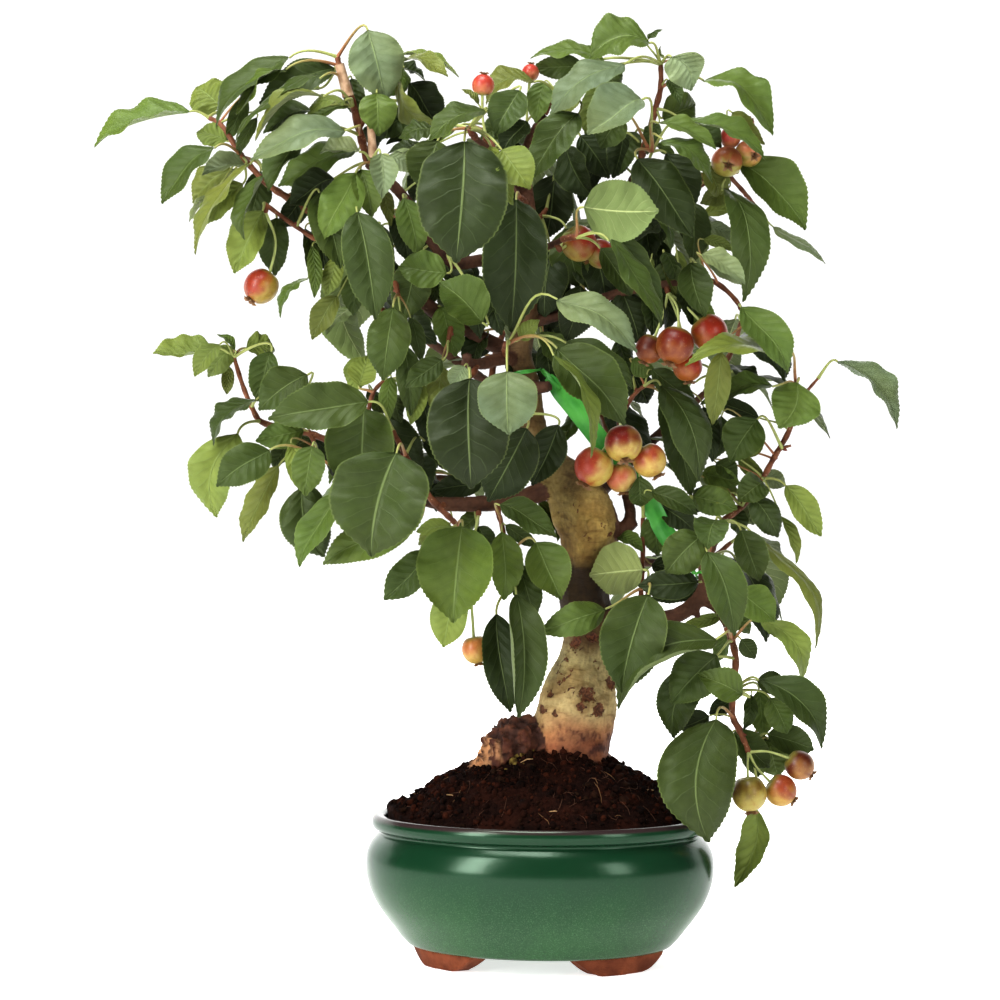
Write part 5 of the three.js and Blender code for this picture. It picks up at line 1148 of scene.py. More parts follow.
BARK_BASE, BARK_FLECK, BARK_TAN = paint(122, 74, 46), paint(64, 30, 16), paint(200, 152, 108)
BARK_LUMP, BARK_TWIG = paint(50, 24, 12), paint(78, 50, 34)
# The trunk's tone by height. The dark band at the neck, between heights 182 and 230, is painted shade under
# the leaves.
BARK_HEIGHTS = [(96, BARK_BASE), (122, BARK_BASE), (130, paint(146, 104, 68)), (140, paint(160, 141, 98)),
                (170, paint(154, 141, 97)), (182, paint(96, 72, 40)), (198, paint(52, 36, 9)),
                (218, paint(46, 31, 6)), (230, paint(122, 100, 50)), (244, paint(142, 121, 66)),
                (264, paint(124, 107, 62)), (282, paint(112, 94, 58)), (345, paint(104, 82, 52)),
                (380, BARK_TWIG), (500, BARK_TWIG)]
TONE_HEIGHTS = [height for height, _ in BARK_HEIGHTS]
TONES = np.array([tone for _, tone in BARK_HEIGHTS])
# Scars on the elevation: x, z, depth, reach, and how much of it is open rather than an old ring.
SCARS = [
    (34, 243, -21, 2.4, 0.7), (38, 239, -17, 2.2, 0.9), (27, 237, -22, 2.0, 0.7), (26, 148, -21, 4.6, 1),
    (32, 141, -19, 3.8, 1), (22, 142, -22, 2.2, 0.9), (38.5, 155, -12, 3.4, 1), (13, 164, -17, 4.6, 0.1),
    (10, 156, -18, 1.8, 0.8), (5, 149, -17, 2.2, 0.8), (1, 141, -15, 2.6, 0.9), (8, 138, -19, 2.0, 0.9),
    (20, 177, -16, 3.6, 0.8), (29, 181, -15, 3.2, 0.8), (20, 256, -21, 2.2, 0.2), (16, 150, -22, 3.0, 0.1),
    (30, 165, -16, 2.6, 0.3),
]
SLIM = 0.78  # limbs are this much of their thickness in the frame, apart from the sturdy ones
STURDY = ("knee_twig", "lower_right", "lower_left")
STOCK = 3  # the first runs are the trunk, the root lump and the knee root
SKIN_GRAIN = 1.2  # millimetres between the points of the wood's skin


def wood_runs():
    """Every limb as its points and radii, drawn smooth."""
    runs = [smooth_run(rows, 8) for rows in (TRUNK, ROOT_LUMP, KNEE_ROOT)]
    for name, rows in LIMBS.items():
        slim = 1 if name in STURDY else SLIM
        runs.append(smooth_run([(*row[:3], row[3] * slim) for row in rows], 6))
    return runs + [smooth_run(rows, 4) for rows in STUBS]


def grown_together(runs):
    """One skin over all the runs, as a mesh."""
    rough = Piece("tree_rough", "bark", ["bark"])
    for i, (points, radii) in enumerate(runs):
        sides, relief = (40, bark_relief) if i < STOCK else (14, None)
        bend_tube(rough, points, radii, sides, (BARK_BASE, BARK_BASE), relief=relief)
    skin = add_object("tree_rough", rough.mesh())
    remesh = skin.modifiers.new("skin", "REMESH")
    remesh.mode = "VOXEL"
    remesh.voxel_size = SKIN_GRAIN * MM
    smooth = skin.modifiers.new("smooth", "SMOOTH")
    smooth.iterations = 2
    mesh = bpy.data.meshes.new_from_object(skin.evaluated_get(bpy.context.evaluated_depsgraph_get()))
    bpy.data.objects.remove(skin)
    return mesh


def bark_at(point, radius, limb, lump_side):
    """How far the bark rises at a point of the wood, and its tone, with painted shade in its grooves and at
    the neck.
    """
    ridge = noise.noise(Vector((point.x * 0.09, point.y * 0.09, point.z * 0.022)))
    lump = noise.noise(point * 0.05)
    wrinkle = noise.noise(Vector((point.x * 0.22, point.y * 0.22, point.z * 0.8)))
    grain = noise.noise(Vector((point.x * 0.8, point.y * 0.8, point.z * 0.35)))
    knobs = noise.noise(point * 0.17)
    bulk = min(1.0, radius / 12)
    rise = bulk * (1.5 * ridge + 1.2 * lump) + (0.2 + 0.25 * bulk) * wrinkle + 0.22 * grain
    tone = np.array([np.interp(point.z + 9 * lump, TONE_HEIGHTS, column) for column in TONES.T])

    def blend(first, second, share):
        return blended(first, second, min(1.0, max(0.0, share)))

    if limb:
        tone = blend(tone, BARK_TWIG, (8.5 - radius) / 3)
    elif lump_side:
        rise += 3.0 * knobs + 2.0 * grain + 1.2 * wrinkle
        tone = blend(BARK_LUMP, BARK_BASE, 1.6 * knobs + 0.6 * grain)
        tan_band = 0.5 if 104 < point.z < 126 else -0.6
        tone = blend(tone, BARK_TAN, (-27 + 6 * ridge - point.x) / 3 + tan_band)
    if point.z < 142:
        tone = blend(tone, BARK_FLECK, (2.6 * knobs + 1.6 * grain - 0.15) * (146 - point.z) / 22)
        rise += 0.5 * knobs
    # Painted shade: the tone is lighter where the ridges and grain rise and darker where they sink.
    return rise, tone * (1 + 0.5 * ridge + 0.35 * grain)


def scarred(point, rise, scars):
    """The bark's rise with the rings and hollows of the scars, and how far they show."""
    seen = 0.0
    for centre, ring, dark in scars:
        gap = (point - centre).length
        if gap < 3 * ring:
            gap *= 1 + 0.7 * noise.noise(point * 0.42 + centre)
            rise += 0.8 * math.exp(-((gap - ring) / (0.35 * ring)) ** 2)
            rise -= 0.9 * dark * math.exp(-(gap / (0.6 * ring)) ** 2)
            seen = max(seen, dark * math.exp(-(gap / ring) ** 4) * 0.75,
                       0.55 * math.exp(-((gap - ring) / (0.22 * ring)) ** 2))
    return rise, seen


def add_tree():
    """All limbs grown together into one skin, with its ridges, wrinkles, swellings and healed scars."""
    runs = wood_runs()
    mesh = grown_together(runs)
    centres = tree_of([point for points, _ in runs for point in points])
    thickness = [radius for _, radii in runs for radius in radii]
    owner = [i for i, (points, _) in enumerate(runs) for _ in points]
    scars = [(spot(x, z, depth), ring, dark) for x, z, depth, ring, dark in SCARS]
    places = read(mesh.vertices, "co", 3)
    normals = read(mesh.vertices, "normal", 3)
    tints, masks = np.empty((len(places), 4)), np.zeros(len(places))
    for i, place in enumerate((places - np.array(POT_PLACE)) / MM):
        point = Vector(place)
        _, k, _ = min(centres.find_n(point, 16), key=lambda found: abs(found[2] - thickness[found[1]]))
        limb = STOCK <= owner[k] < len(runs) - 1
        lump_side = owner[k] == 1 or (point.z < 128 and point.x < -3)
        rise, tone = bark_at(point, thickness[k], limb, lump_side)
        rise, masks[i] = scarred(point, rise, scars)
        tints[i] = np.clip(tone, 0, 1)
        tints[i][3] = 1
        places[i] += normals[i] * rise * MM
    mesh.vertices.foreach_set("co", places.ravel())
    lay_tints(mesh, tints)
    mesh.attributes.new("scar", "FLOAT", "POINT").data.foreach_set("value", masks)
    mesh.materials.clear()
    mesh.name = "tree_wood"
    place_piece("tree_wood", mesh, "bark", ["bark"], ["tree"])


# ---- leaves


def blade_template(rows, columns):
    """A thin closed lens over a square: two sheets at z 1 and -1 that meet along the outline at z 0."""
    shape = bmesh.new()
    for side, group in ((1, 0), (-1, 1)):
        sheet = bmesh.ops.create_grid(shape, x_segments=rows, y_segments=columns, size=1)["verts"]
        for corner in sheet:
            edge = max(abs(corner.co.x), abs(corner.co.y)) > 0.999
            corner.co.z = 0 if edge else side
        faces = {face for corner in sheet for face in corner.link_faces}
        for face in faces:
            face.material_index = group
        if side < 0:
            bmesh.ops.reverse_faces(shape, faces=list(faces))
    bmesh.ops.remove_doubles(shape, verts=shape.verts, dist=0.0001)
    return Template(shape)


BLADES = {"rolled": blade_template(48, 22), "fine": blade_template(48, 8),
          "plain": blade_template(28, 6), "small": blade_template(16, 4)}
# Half-widths of a blade as drawn in full, slender and broad.
SLENDER = [(0, 0.05), (0.04, 0.26), (0.12, 0.6), (0.28, 0.93), (0.46, 1), (0.68, 0.76), (0.86, 0.38),
           (0.95, 0.13), (1, 0)]
BROAD = [(0, 0.06), (0.03, 0.36), (0.1, 0.7), (0.25, 0.96), (0.46, 1.04), (0.68, 0.93), (0.83, 0.6),
         (0.91, 0.3), (0.96, 0.11), (1, 0)]


def outline_of(edge):
    points = [Vector((u, share, 0)) for u, share in edge]
    drawn = [curve_point(points, i / 120) for i in range(121)]
    return np.array([(point.x, max(point.y, 0)) for point in drawn])


OUTLINES = [outline_of(SLENDER), outline_of(BROAD)]
WARMER = (1.2, 1.1, 0.84, 1)  # where a leaf is warmer than its tone


class Leaf:
    """A leaf's blade by its foot, tip, upper normal, width and the height of its arch."""

    nearer = (0, 0, 0)
    rolled = (1, 0)

    def __init__(self, base, tip, normal, width, bow, tone="D", aside=0.0, blunt=None):
        self.base, self.tip, self.normal, self.width, self.bow = base, tip, normal, width, bow
        self.tone, self.aside, self.blunt = tone, aside, blunt

    @classmethod
    def drawn(cls, row):
        *numbers, tone = row
        x, z, tip_x, tip_z, width, turn, depth, lean, bow = (*numbers, BLADE["bow"])[:9]
        run = Vector((tip_x - x, 0, tip_z - z)).normalized()
        outward = Vector((run.z, 0, -run.x)) if run.x < 0 else Vector((-run.z, 0, run.x))
        angle = math.radians(turn)
        normal = Vector((0, -math.cos(angle), 0)) + outward * math.sin(angle)
        leaf = cls(spot(x, z, depth), spot(tip_x, tip_z, depth + lean), normal, width, bow, tone,
                   SIDEWAYS.get((x, z), 0.0), BLUNT.get((x, z)))
        leaf.nearer = NEARER.get((x, z), (0, 0, 0))
        leaf.rolled = ROLLED.get((x, z), (1, 0))
        return leaf

    def blade(self):
        """The template that is fine enough for the leaf."""
        if self.rolled[1]:
            return BLADES["rolled"]
        return BLADES["fine" if self.width >= 20 else "plain" if self.width >= 12 else "small"]

    def shifted(self, depth, lean, roll):
        base, tip = slide(self.base, depth), slide(self.tip, depth + lean)
        along = (tip - base).normalized()
        normal = (self.normal - along * self.normal.dot(along)).normalized()
        normal.rotate(Quaternion(along, math.radians(roll)))
        return Leaf(base, tip, normal, self.width, self.bow, self.tone, self.aside, self.blunt)

    def measure(self):
        """The way to the tip, the way to the right, the length, and a phase for the waves."""
        along = self.tip - self.base
        length = along.length
        along = along / length
        return along, along.cross(self.normal), length, self.base.x * 0.7 + self.base.z * 0.3

    def outline_points(self):
        along, right, length, phase = self.measure()
        for u, share in LARGE_EDGE if self.width >= LARGE_LEAF else MEDIUM_EDGE:
            for side in (-1, 1):
                reach = share * self.width / 2
                wave = BLADE["wave"] * self.width * math.sin(9 * u + phase + side)
                lift = BLADE["fold"] * reach + wave * share + self.bow * length * 4 * u * (1 - u)
                yield self.base + along * u * length + right * side * reach + self.normal * lift

    def tries(self):
        for depth in DEPTHS:
            for lean, roll in TILTS:
                yield self.shifted(depth, lean, roll)

    def as_it_lies(self, corners):
        """The leaf where the frame's node has it, or nothing where the frame leaves it out."""
        def found(point):
            return corners.find(in_metres(point))[2] < TOUCHING
        best, most = None, 2
        for laid in self.tries():
            if found(laid.tip):
                hits = sum(found(point) for point in laid.outline_points())
                if hits > most:
                    best, most = laid, hits
        return best


def rolled_over(leaf, u, s, reach):
    """Where each place lies across the blade and above it, and its angle, when one edge is rolled over."""
    side, most = leaf.rolled
    if not most:
        return s * reach, 0.0 * s, 0.0 * s
    flat = 0.4  # share of the half-width that stays flat
    full = np.maximum(most * np.sin(math.pi * np.clip(u, 0.02, 0.98)) ** 0.5, 0.001)
    beyond = np.clip((s * side - flat) / (1 - flat), 0, 1)
    bend = (1 - flat) * reach / full
    angle = full * beyond
    across = np.where(beyond > 0, side * (flat * reach + bend * np.sin(angle)), s * reach)
    return across, bend * (1 - np.cos(angle)), angle * side


def add_blade(piece, leaf, random):
    """The blade with its toothed edge, its folds between the side veins, and its raised midrib below."""
    along, right, length, phase = leaf.measure()
    template = leaf.blade()
    x, y, upper = template.points.T
    u = (x + 1) / 2
    s = np.sign(y) * np.abs(y) ** 1.4
    slender, broad = (np.interp(u, outline[:, 0], outline[:, 1]) for outline in OUTLINES)
    roundness = random.uniform(0.05, 0.75)
    if leaf.blunt is not None:
        roundness = leaf.blunt
    share = blended(slender, broad, roundness)
    reach = share * leaf.width / 2
    out = np.abs(s)
    rows = len(np.unique(np.round(x, 4))) - 1
    tooth = np.where((np.rint(u * rows) % 2 == 1) & (out > 0.99), 1.0, 0.0)
    across, raised, angle = rolled_over(leaf, u, s, reach)
    across = across + np.sign(s) * 0.45 * tooth * np.cos(angle) * min(1, leaf.width / 22)
    forward = u * length + tooth * length * 0.01
    wave = BLADE["wave"] * leaf.width * np.sin(9 * u + phase + np.sign(s))
    fine_wave = 0.055 * leaf.width * np.sin(random.uniform(13, 22) * u + 2.3 * phase + 1.9 * np.sign(s))
    curl = random.uniform(-0.15, 0.5)
    fold = BLADE["fold"] * random.uniform(1.0, 3.0)
    sway = random.uniform(-0.05, 0.05) * length * np.sin(math.tau * u + phase)
    pillow = np.cos(math.tau * 9 * (u - 0.18 * out)) * np.sin(math.pi * np.clip(out, 0, 1))
    pillow = 0.01 * leaf.width * pillow
    lift = (sway + fold * reach * out ** 1.15 + (wave * share + fine_wave * share) * out ** 2
            - curl * reach * out ** 4 + leaf.bow * length * 4 * u * (1 - u) + pillow
            - 0.22 * np.exp(-(s / 0.1) ** 2))
    lift = lift + across * np.tan(random.uniform(-0.34, 0.34) * (u - 0.3))
    bend = random.uniform(-0.035, 0.035) * length * 4 * u * (1 - u)
    lift = lift - random.uniform(-0.03, 0.1) * length * np.clip(u - 0.75, 0, 1) ** 2 * 8
    midrib = np.where(upper < 0, 0.5 * np.exp(-(s / 0.09) ** 2) * (1.1 - u), 0)
    lift = lift + raised + 0.13 * upper * np.cos(angle) - midrib
    across = across - 0.13 * upper * np.sin(angle)
    swing = leaf.aside * 4 * u * (1 - u)
    points = (np.array(leaf.base) + forward[:, None] * np.array(along)
              + (across + bend)[:, None] * np.array(right) + lift[:, None] * np.array(leaf.normal)
              + swing[:, None] * np.array(along.cross(Vector((0, 1, 0)))))
    tone = np.array(LEAF_TONES[leaf.tone]) * random.uniform(0.8, 1.2)
    warmth = np.clip(random.uniform(0, 0.5) + 0.35 * np.sin(3 * u + phase) * out, 0, 1)[:, None]
    tint = np.clip(blended(tone, tone * WARMER, warmth), 0, 1)
    tint[:, 3] = 1
    piece.add(template, points, tint, np.stack([u, (s + 1) / 2], axis=1))


def add_petiole(piece, leaf, node, random):
    """The stalk of a leaf from its node on the stem: it rises a little, then bends over to the blade."""
    along = leaf.measure()[0]
    reach = (leaf.base - node).length
    rising = node.lerp(leaf.base, 0.35) + Vector((0, 0, 0.14 * reach))
    bending = leaf.base - along * 0.35 * reach
    run = bezier_run((node, leaf.base), (rising, bending), 9)
    start = RED_STALK if random.uniform(0, 1) < 0.3 else GREEN_STALK
    thick = 1.0 if leaf.width > SMALL_LEAF else 0.7
    radii = np.interp(np.linspace(0, 1, 10), (0, 0.1, 0.5, 1),
                      (1.25 * thick, thick, 0.75 * thick, 0.62 * thick))
    bend_tube(piece, run, radii, 6, (start, np.array(GREEN_STALK) * 0.9), group=2)


def add_leaf(piece, leaf, node, random):
    add_petiole(piece, leaf, node, random)
    add_blade(piece, leaf, random)


def add_bud(piece, node, ahead, random):
    """A pointed bud in a leaf's axil."""
    lean = Vector(random.normal(size=3)).normalized()
    out = (ahead + lean * 0.8).normalized()
    run = [node, node + out * 1.1, node + out * 2.3, node + out * 3.2]
    bend_tube(piece, run, [0.7, 1.1, 0.85, 0.12], 6, (BUD, BUD), group=3)


def wood_surface():
    """The frame's wood as a tree of its faces, to find where a shoot leaves it."""
    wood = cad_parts["tree"].data
    return BVHTree.FromPolygons([corner.co for corner in wood.vertices],
                                [list(face.vertices) for face in wood.polygons])


def seat_on(surface, root, toward, radius):
    """Where a shoot starts just off the wood that its root lies in."""
    start = spot(*root)
    ahead = (toward - start).normalized()
    aside = Vector((0, 0, 1)).cross(ahead).normalized()
    reach = 0.0
    for i in range(9):
        aslant = aside.copy()
        aslant.rotate(Quaternion(ahead, i * math.pi / 4))
        eye = toward + aslant * (1.15 * radius if i < 8 else 0)
        hit, _, _, gap = surface.ray_cast(in_metres(eye), -ahead)
        if hit is not None:
            reach = max(reach, (toward - start).length - gap / MM)
    return start + ahead * (reach + 0.3)


def park_miller(seed):
    """Park and Miller's generator, from 0 to 1. The frame's back sprays are set by it too."""
    state = seed
    while True:
        state = state * 16807 % 2147483647
        yield state / 2147483647


def leaves_around(stem, count, seed, size=1.0, first=0.25):
    """Leaves set round a stem by the golden angle, each hanging outward and down from its petiole."""
    random = park_miller(seed)
    leaves = []
    for i in range(count):
        node = curve_point(stem, first + (1 - first) * (i / (count - 1)))
        angle = i * 2.4 + next(random) * 0.8
        out = Vector((math.cos(angle), math.sin(angle), 0))
        length = (46 + 16 * next(random)) * size
        droop = 0.5 + 0.5 * next(random)
        base = node + out * (17 + 6 * next(random)) * size
        base.z += 5 - 8 * next(random)
        tip = base + out * length * math.cos(droop)
        tip.z -= length * math.sin(droop)
        normal = out * math.sin(droop) + Vector((0, 0, math.cos(droop)))
        leaves.append(Leaf(base, tip, normal, (24 + 8 * next(random)) * size, 0.14, "DMK"[i % 3]))
    return leaves


def add_stems(piece, root, stems, random):
    """The shoot from its root in the wood and its side shoots, with a bud at each fifth point."""
    for rows in [[(*root, stems[0][0][3]), *stems[0]], *stems[1:]]:
        run, radii = smooth_run(rows, 5)
        knobs = 1 + 0.12 * np.sin(np.arange(len(run)) * 1.9)
        bend_tube(piece, run, radii * knobs, 8, (YOUNG_WOOD, YOUNG_WOOD), group=3)
        for point, ahead in zip(run[5::5], run[6::5]):
            add_bud(piece, point, (ahead - point).normalized(), random)


def add_spray(name, root, stems, leaves, seed, more=()):
    """One shoot with its side shoots, buds, petioles and leaves."""
    random = np.random.default_rng(seed)
    piece = Piece(name + "_leafy", "leaf", ["face", "back", "stalk", "young wood"], [name])
    add_stems(piece, root, stems, random)
    nodes = [point for rows in stems for point in spots(rows)]
    corners = tree_of([corner.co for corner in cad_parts[name].data.vertices])
    hung = []
    for number, leaf in enumerate(leaves):
        laid = leaf.as_it_lies(corners)
        if laid is None and leaf.width >= SMALL_LEAF:
            continue
        laid = (laid or leaf).shifted(*leaf.nearer)
        laid.rolled = leaf.rolled
        if (name, number) in SWUNG:
            foot, tip = SWUNG[name, number]
            laid.base, laid.tip = spot(*foot, laid.base.y), spot(*tip, laid.tip.y)
            laid = laid.shifted(0, 0, 0)
        hung.append((leaf.base, laid))
    for foot, leaf in [*hung, *((leaf.base, leaf) for leaf in more)]:
        add_leaf(piece, leaf, min(nodes, key=lambda point: (point - foot).length), random)
    piece.finish(sharp=70)


def add_sprays():
    surface = wood_surface()
    for i, (name, root, stems, rows) in enumerate(SPRAYS):
        add_spray(name, root, stems, [Leaf.drawn(row) for row in rows], SEEDS["sprays"] + i)
    for i, (name, root, rows) in enumerate(FILLING):
        points = spots(rows)
        main = [seat_on(surface, root, points[0], rows[0][3]), *points]
        large = leaves_around(main, 4, root[1])
        small = leaves_around(main, 6, root[1] + 5, 0.6, 0.1)
        add_spray(name, root, [rows], large, SEEDS["filling"] + i, small)


def drawn_wood():
    """The points of all limbs and stems, to find the wood nearest to a leaf."""
    points = [point for rows in LIMBS.values() for point in smooth_run(rows, 3)[0]]
    for _, _, stems, _ in SPRAYS:
        for rows in stems:
            points += spots(rows)
    return tree_of(points)


def add_inner_leaves():
    """The leaves deeper in the crown, between the outer ones, and the cut stumps."""
    wood = drawn_wood()
    for part in range(3):
        random = np.random.default_rng(SEEDS["inner"] + part)
        piece = Piece(f"inner_leaves_{part + 1}", "leaf", ["face", "back", "stalk", "young wood"])
        for x, z, tip_x, tip_z, width, tone in INNER_LEAVES[part::3]:
            place = spot(x, z)
            depth = np.clip(wood.find(place)[0].y + random.uniform(-6, 16), -40, 40)
            turn = random.uniform(-35, 45)
            row = (x, z, tip_x, tip_z, width, turn, depth, random.uniform(-8, 4), tone)
            leaf = Leaf.drawn(row).shifted(0, 0, 0)
            add_leaf(piece, leaf, wood.find(leaf.base)[0], random)
        if part == 0:
            for foot, top, radius in STUMPS:
                foot, top = spot(*foot), spot(*top)
                bend_tube(piece, [foot, foot.lerp(top, 0.5), top], [1.15 * radius, radius, 0.95 * radius], 12,
                          (CUT_WOOD, CUT_WOOD), group=3)
        piece.finish(sharp=70)


# ---- fruit


def apple_template():
    """An apple of radius 1, its dimple below and its eye above."""
    outline = [(0.001, -0.64), (0.1, -0.7), (0.3, -0.85), (0.6, -0.8), (0.88, -0.46), (1.0, 0.0),
               (0.94, 0.38), (0.76, 0.7), (0.5, 0.92), (0.3, 1.0), (0.18, 0.98), (0.09, 0.9), (0.001, 0.88)]
    return Template(spun(outline, 22, 28, 0.01))


APPLE = apple_template()
RED, YELLOW, OLIVE = paint(140, 44, 20), paint(184, 146, 72), paint(146, 138, 64)
DARK_RED = paint(96, 34, 16)
DRIED, DRIED_TIP = paint(92, 62, 40), paint(130, 98, 60)
PEDICEL = paint(168, 178, 112)
CUT_WOOD = paint(196, 166, 138)
RIPER = (0.74, 0.78, 0.72, 1)  # all skins are this much darker than their ground and blush


def add_apple(piece, centre, radius, eye, tones, blush, random):
    """An apple with its dimple, the dried flower in its eye, and a blush on one side."""
    turn = lying_along(eye)
    x, y, h = APPLE.points.T
    angle = np.arctan2(y, x)
    phase = random.uniform(0, math.tau)
    swell = 1 + 0.025 * np.sin(5 * angle + phase) * np.clip(h, 0, 1) + 0.02 * np.sin(2 * angle + phase)
    local = APPLE.points * np.stack([swell, swell, np.ones_like(h)], axis=1)
    local = local @ turn.T
    points = local * radius + np.array(centre)
    facing = local @ np.array(Vector(blush).normalized())
    streak = (0.1 * np.sin(7 * angle + phase) + 0.07 * np.sin(15 * angle + 2 * phase)
              + 0.12 * np.sin(3 * h + phase))
    patches = np.array([noise.noise(Vector(point) * 0.16) for point in points])
    share = np.clip(0.43 + 0.9 * facing + streak + 0.7 * patches, 0, 1)[:, None]
    share = share * share * (3 - 2 * share)
    near_stalk = np.clip((-h - 0.6) * 4, 0, 1)[:, None]
    tint = blended(blended(*tones, share), OLIVE, near_stalk) * RIPER
    near_eye = (np.clip((h - 0.82) * 8, 0, 1) * (np.hypot(x, y) < 0.24))[:, None]
    tint = blended(tint, DRIED, near_eye)
    piece.add(APPLE, points, tint)
    side = eye.orthogonal().normalized()
    for i in range(5):
        out = side.copy()
        out.rotate(Quaternion(eye, i * math.tau / 5 + random.uniform(-0.2, 0.2)))
        foot = centre + eye * radius * 0.93 + out * radius * 0.12
        run = [foot, *(foot + eye * radius * up + out * radius * aside
                       for up, aside in ((0.16, 0.06), (0.24, 0.2), (0.2, 0.36)))]
        radii = [share * radius for share in (0.12, 0.13, 0.09, 0.02)]
        bend_tube(piece, run, radii, 5, (DRIED, DRIED_TIP), group=1, flat=0.35)
    for _ in range(9):
        lean = Vector(random.normal(size=3)) * 0.3
        foot = centre + eye * radius * 0.9 + lean * radius * 0.12
        top = foot + (eye + lean).normalized() * radius * random.uniform(0.22, 0.36)
        bend_tube(piece, [foot, top], [0.12, 0.08], 3, (DRIED, DRIED), group=1)


def add_bunch(index, name, root, knob, apples):
    """A short shoot with its knob, and the apples that hang from it by their pedicels."""
    random = np.random.default_rng(SEEDS["bunches"] + index)
    piece = Piece(name + "_ripe", "fruit", ["apple", "stalk", "young wood"], [name])
    start = spot(*root)
    ahead = (spot(*knob) - start).normalized()
    seat = node_foot(name, start, ahead)
    head = seat + ahead * 3
    bend_tube(piece, [start, seat, seat + ahead * 1.6, head], [1.3, 1.6, 1.7, 1.1], 8,
              (YOUNG_WOOD, YOUNG_WOOD), group=2)
    for x, z, depth, radius, right, up, back in apples:
        tones, blush = FRUIT_TONES.get((x, z), ((YELLOW, RED), (-0.5, -0.4, 0.6)))
        centre = spot(x, z, depth)
        eye = Vector((right, back, up)).normalized()
        dimple = centre - eye * 0.7 * radius
        above = dimple - eye * 0.35 * (dimple - head).length
        middle = head.lerp(above, 0.6)
        run, radii = smooth_run([(head - ahead, 0.95), (middle, 0.62), (dimple, 0.85)], 7)
        bend_tube(piece, run, radii, 7, (PEDICEL, PEDICEL), group=1)
        add_apple(piece, centre, radius, eye, tones, blush, random)
    piece.finish(sharp=60)


def node_foot(name, start, ahead):
    """Where on its way out of the wood the frame's bunch begins."""
    places = read(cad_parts[name].data.vertices, "co", 3)
    local = (places - np.array(in_metres(start))) / MM
    along = local @ np.array(ahead)
    aside = np.linalg.norm(local - along[:, None] * np.array(ahead), axis=1)
    close = along[(aside < 1.7) & (along > 0)]
    return start + ahead * (close.min() if len(close) else 1.0)


PINK, CRIMSON, GREENISH = paint(204, 126, 90), paint(180, 64, 52), paint(156, 146, 70)
# The ground and blush of a fruit by its place, and the side that is blushed.
FRUIT_TONES = {
    (116.5, 94): ((paint(176, 156, 78), paint(112, 84, 30)), (-0.6, 0, 0.8)),
    (134, 95.6): ((paint(190, 152, 72), paint(150, 66, 34)), (0.4, -0.3, 0.8)),
    (144.5, 109.6): ((paint(160, 112, 58), DARK_RED), (-0.7, -0.4, 0.7)),
    (-36.6, 174.6): ((paint(192, 158, 84), paint(184, 116, 62)), (-0.4, -0.4, 0.6)),
    (-156.5, 378): ((paint(160, 132, 58), paint(150, 52, 28)), (-0.6, -0.3, 0.7)),
    (104, 447.5): ((GREENISH, paint(160, 88, 56)), (0.3, -0.5, 0.8)),
    (116, 452): ((GREENISH, PINK), (0.3, -0.6, 0.6)),
    (106, 461): ((PINK, CRIMSON), (-0.5, -0.3, 0.7)),
    (114, 467): ((PINK, CRIMSON), (0.4, -0.2, 0.8)),
    # The right middle bunch hangs under leaves: its darker grounds and blushes are painted shade.
    (75, 345): ((paint(150, 84, 36), paint(120, 34, 14)), (0.3, -0.3, 0.8)),
    (94, 352): ((paint(158, 90, 38), paint(150, 42, 18)), (0.3, -0.3, 0.8)),
    (82, 333): ((paint(158, 90, 38), paint(156, 46, 20)), (0.3, -0.3, 0.5)),
    (61, 343): ((paint(150, 84, 36), DARK_RED), (-0.3, -0.3, 0.8)),
    (21, 402): ((paint(176, 148, 76), paint(160, 50, 30)), (0.6, -0.3, 0.5)),
    (33, 396): ((paint(150, 138, 66), RED), (0.5, -0.5, 0.2)),
    (46, 290): ((paint(190, 164, 88), paint(126, 30, 18)), (-0.3, -0.2, 0.8)),
    (29.7, 277): ((paint(194, 170, 88), paint(168, 62, 40)), (-0.9, -0.1, 0.1)),
    (60.5, 280.5): ((paint(200, 168, 92), paint(172, 74, 48)), (-0.3, -0.2, 0.9)),
    (45, 271): ((paint(194, 164, 98), paint(184, 98, 68)), (-0.8, -0.2, 0.2)),
    (-32.5, 490): ((PINK, CRIMSON), (-0.2, -0.2, 0.9)),
    (-6, 497): ((PINK, CRIMSON), (-0.2, -0.2, 0.6)),
}


# ---- green strip


# The strip's loops: place, axis and inner radius. Then the route of its taut run, and its two knots.
STRIP_LOOPS = [((-9.9, 329.2, 0), spot(-12, 338, 0) - spot(-8, 320, 0), 9.7),
               ((91.8, 216, -10), spot(91.5, 222, -8) - spot(92, 210, -12), 4.8)]
STRIP_ROUTE = [(4, 327, -5), (16, 313, -7), (33, 291.5, -9), (46, 275, -10), (59, 259, -11), (70, 239, -12),
               (80, 226, -12)]
STRIP_KNOTS = [[(0.4, 331.3, 0, 1.2), (5, 326, -5.4, 1.6), (10, 320, -6.4, 1.5)],
               [(86, 216.5, -10.5, 1.2), (79.5, 226.7, -12, 1.6), (76, 231, -12, 1.5)]]


def thickened(sheet, thickness):
    bmesh.ops.solidify(sheet, geom=sheet.faces[:], thickness=thickness)
    bmesh.ops.recalc_face_normals(sheet, faces=sheet.faces[:])
    return Template(sheet)


def add_loop(piece, place, axis, inner):
    """A crumpled turn of the strip round a limb."""
    ring = bmesh.new()
    bmesh.ops.create_circle(ring, segments=64, radius=1)
    draw_out(ring, 8)
    template = thickened(ring, 0.01)
    turn = lying_along(axis.normalized())
    x, y, z = template.points.T
    angle = np.arctan2(y, x)
    flat = np.hypot(x, y)
    reach = inner + 0.1 + (flat - flat.min()) * 45 + 0.22 * np.sin(5 * angle + z) + 0.18 * np.sin(z * 1.4)
    height = (z / 8 - 0.5) * (1.8 + 0.5 * np.sin(3 * angle)) + 0.5 * np.sin(2 * angle)
    local = np.stack([reach * np.cos(angle), reach * np.sin(angle), height], axis=1)
    piece.add(template, local @ turn.T + np.array(spot(*place)), PLAIN)


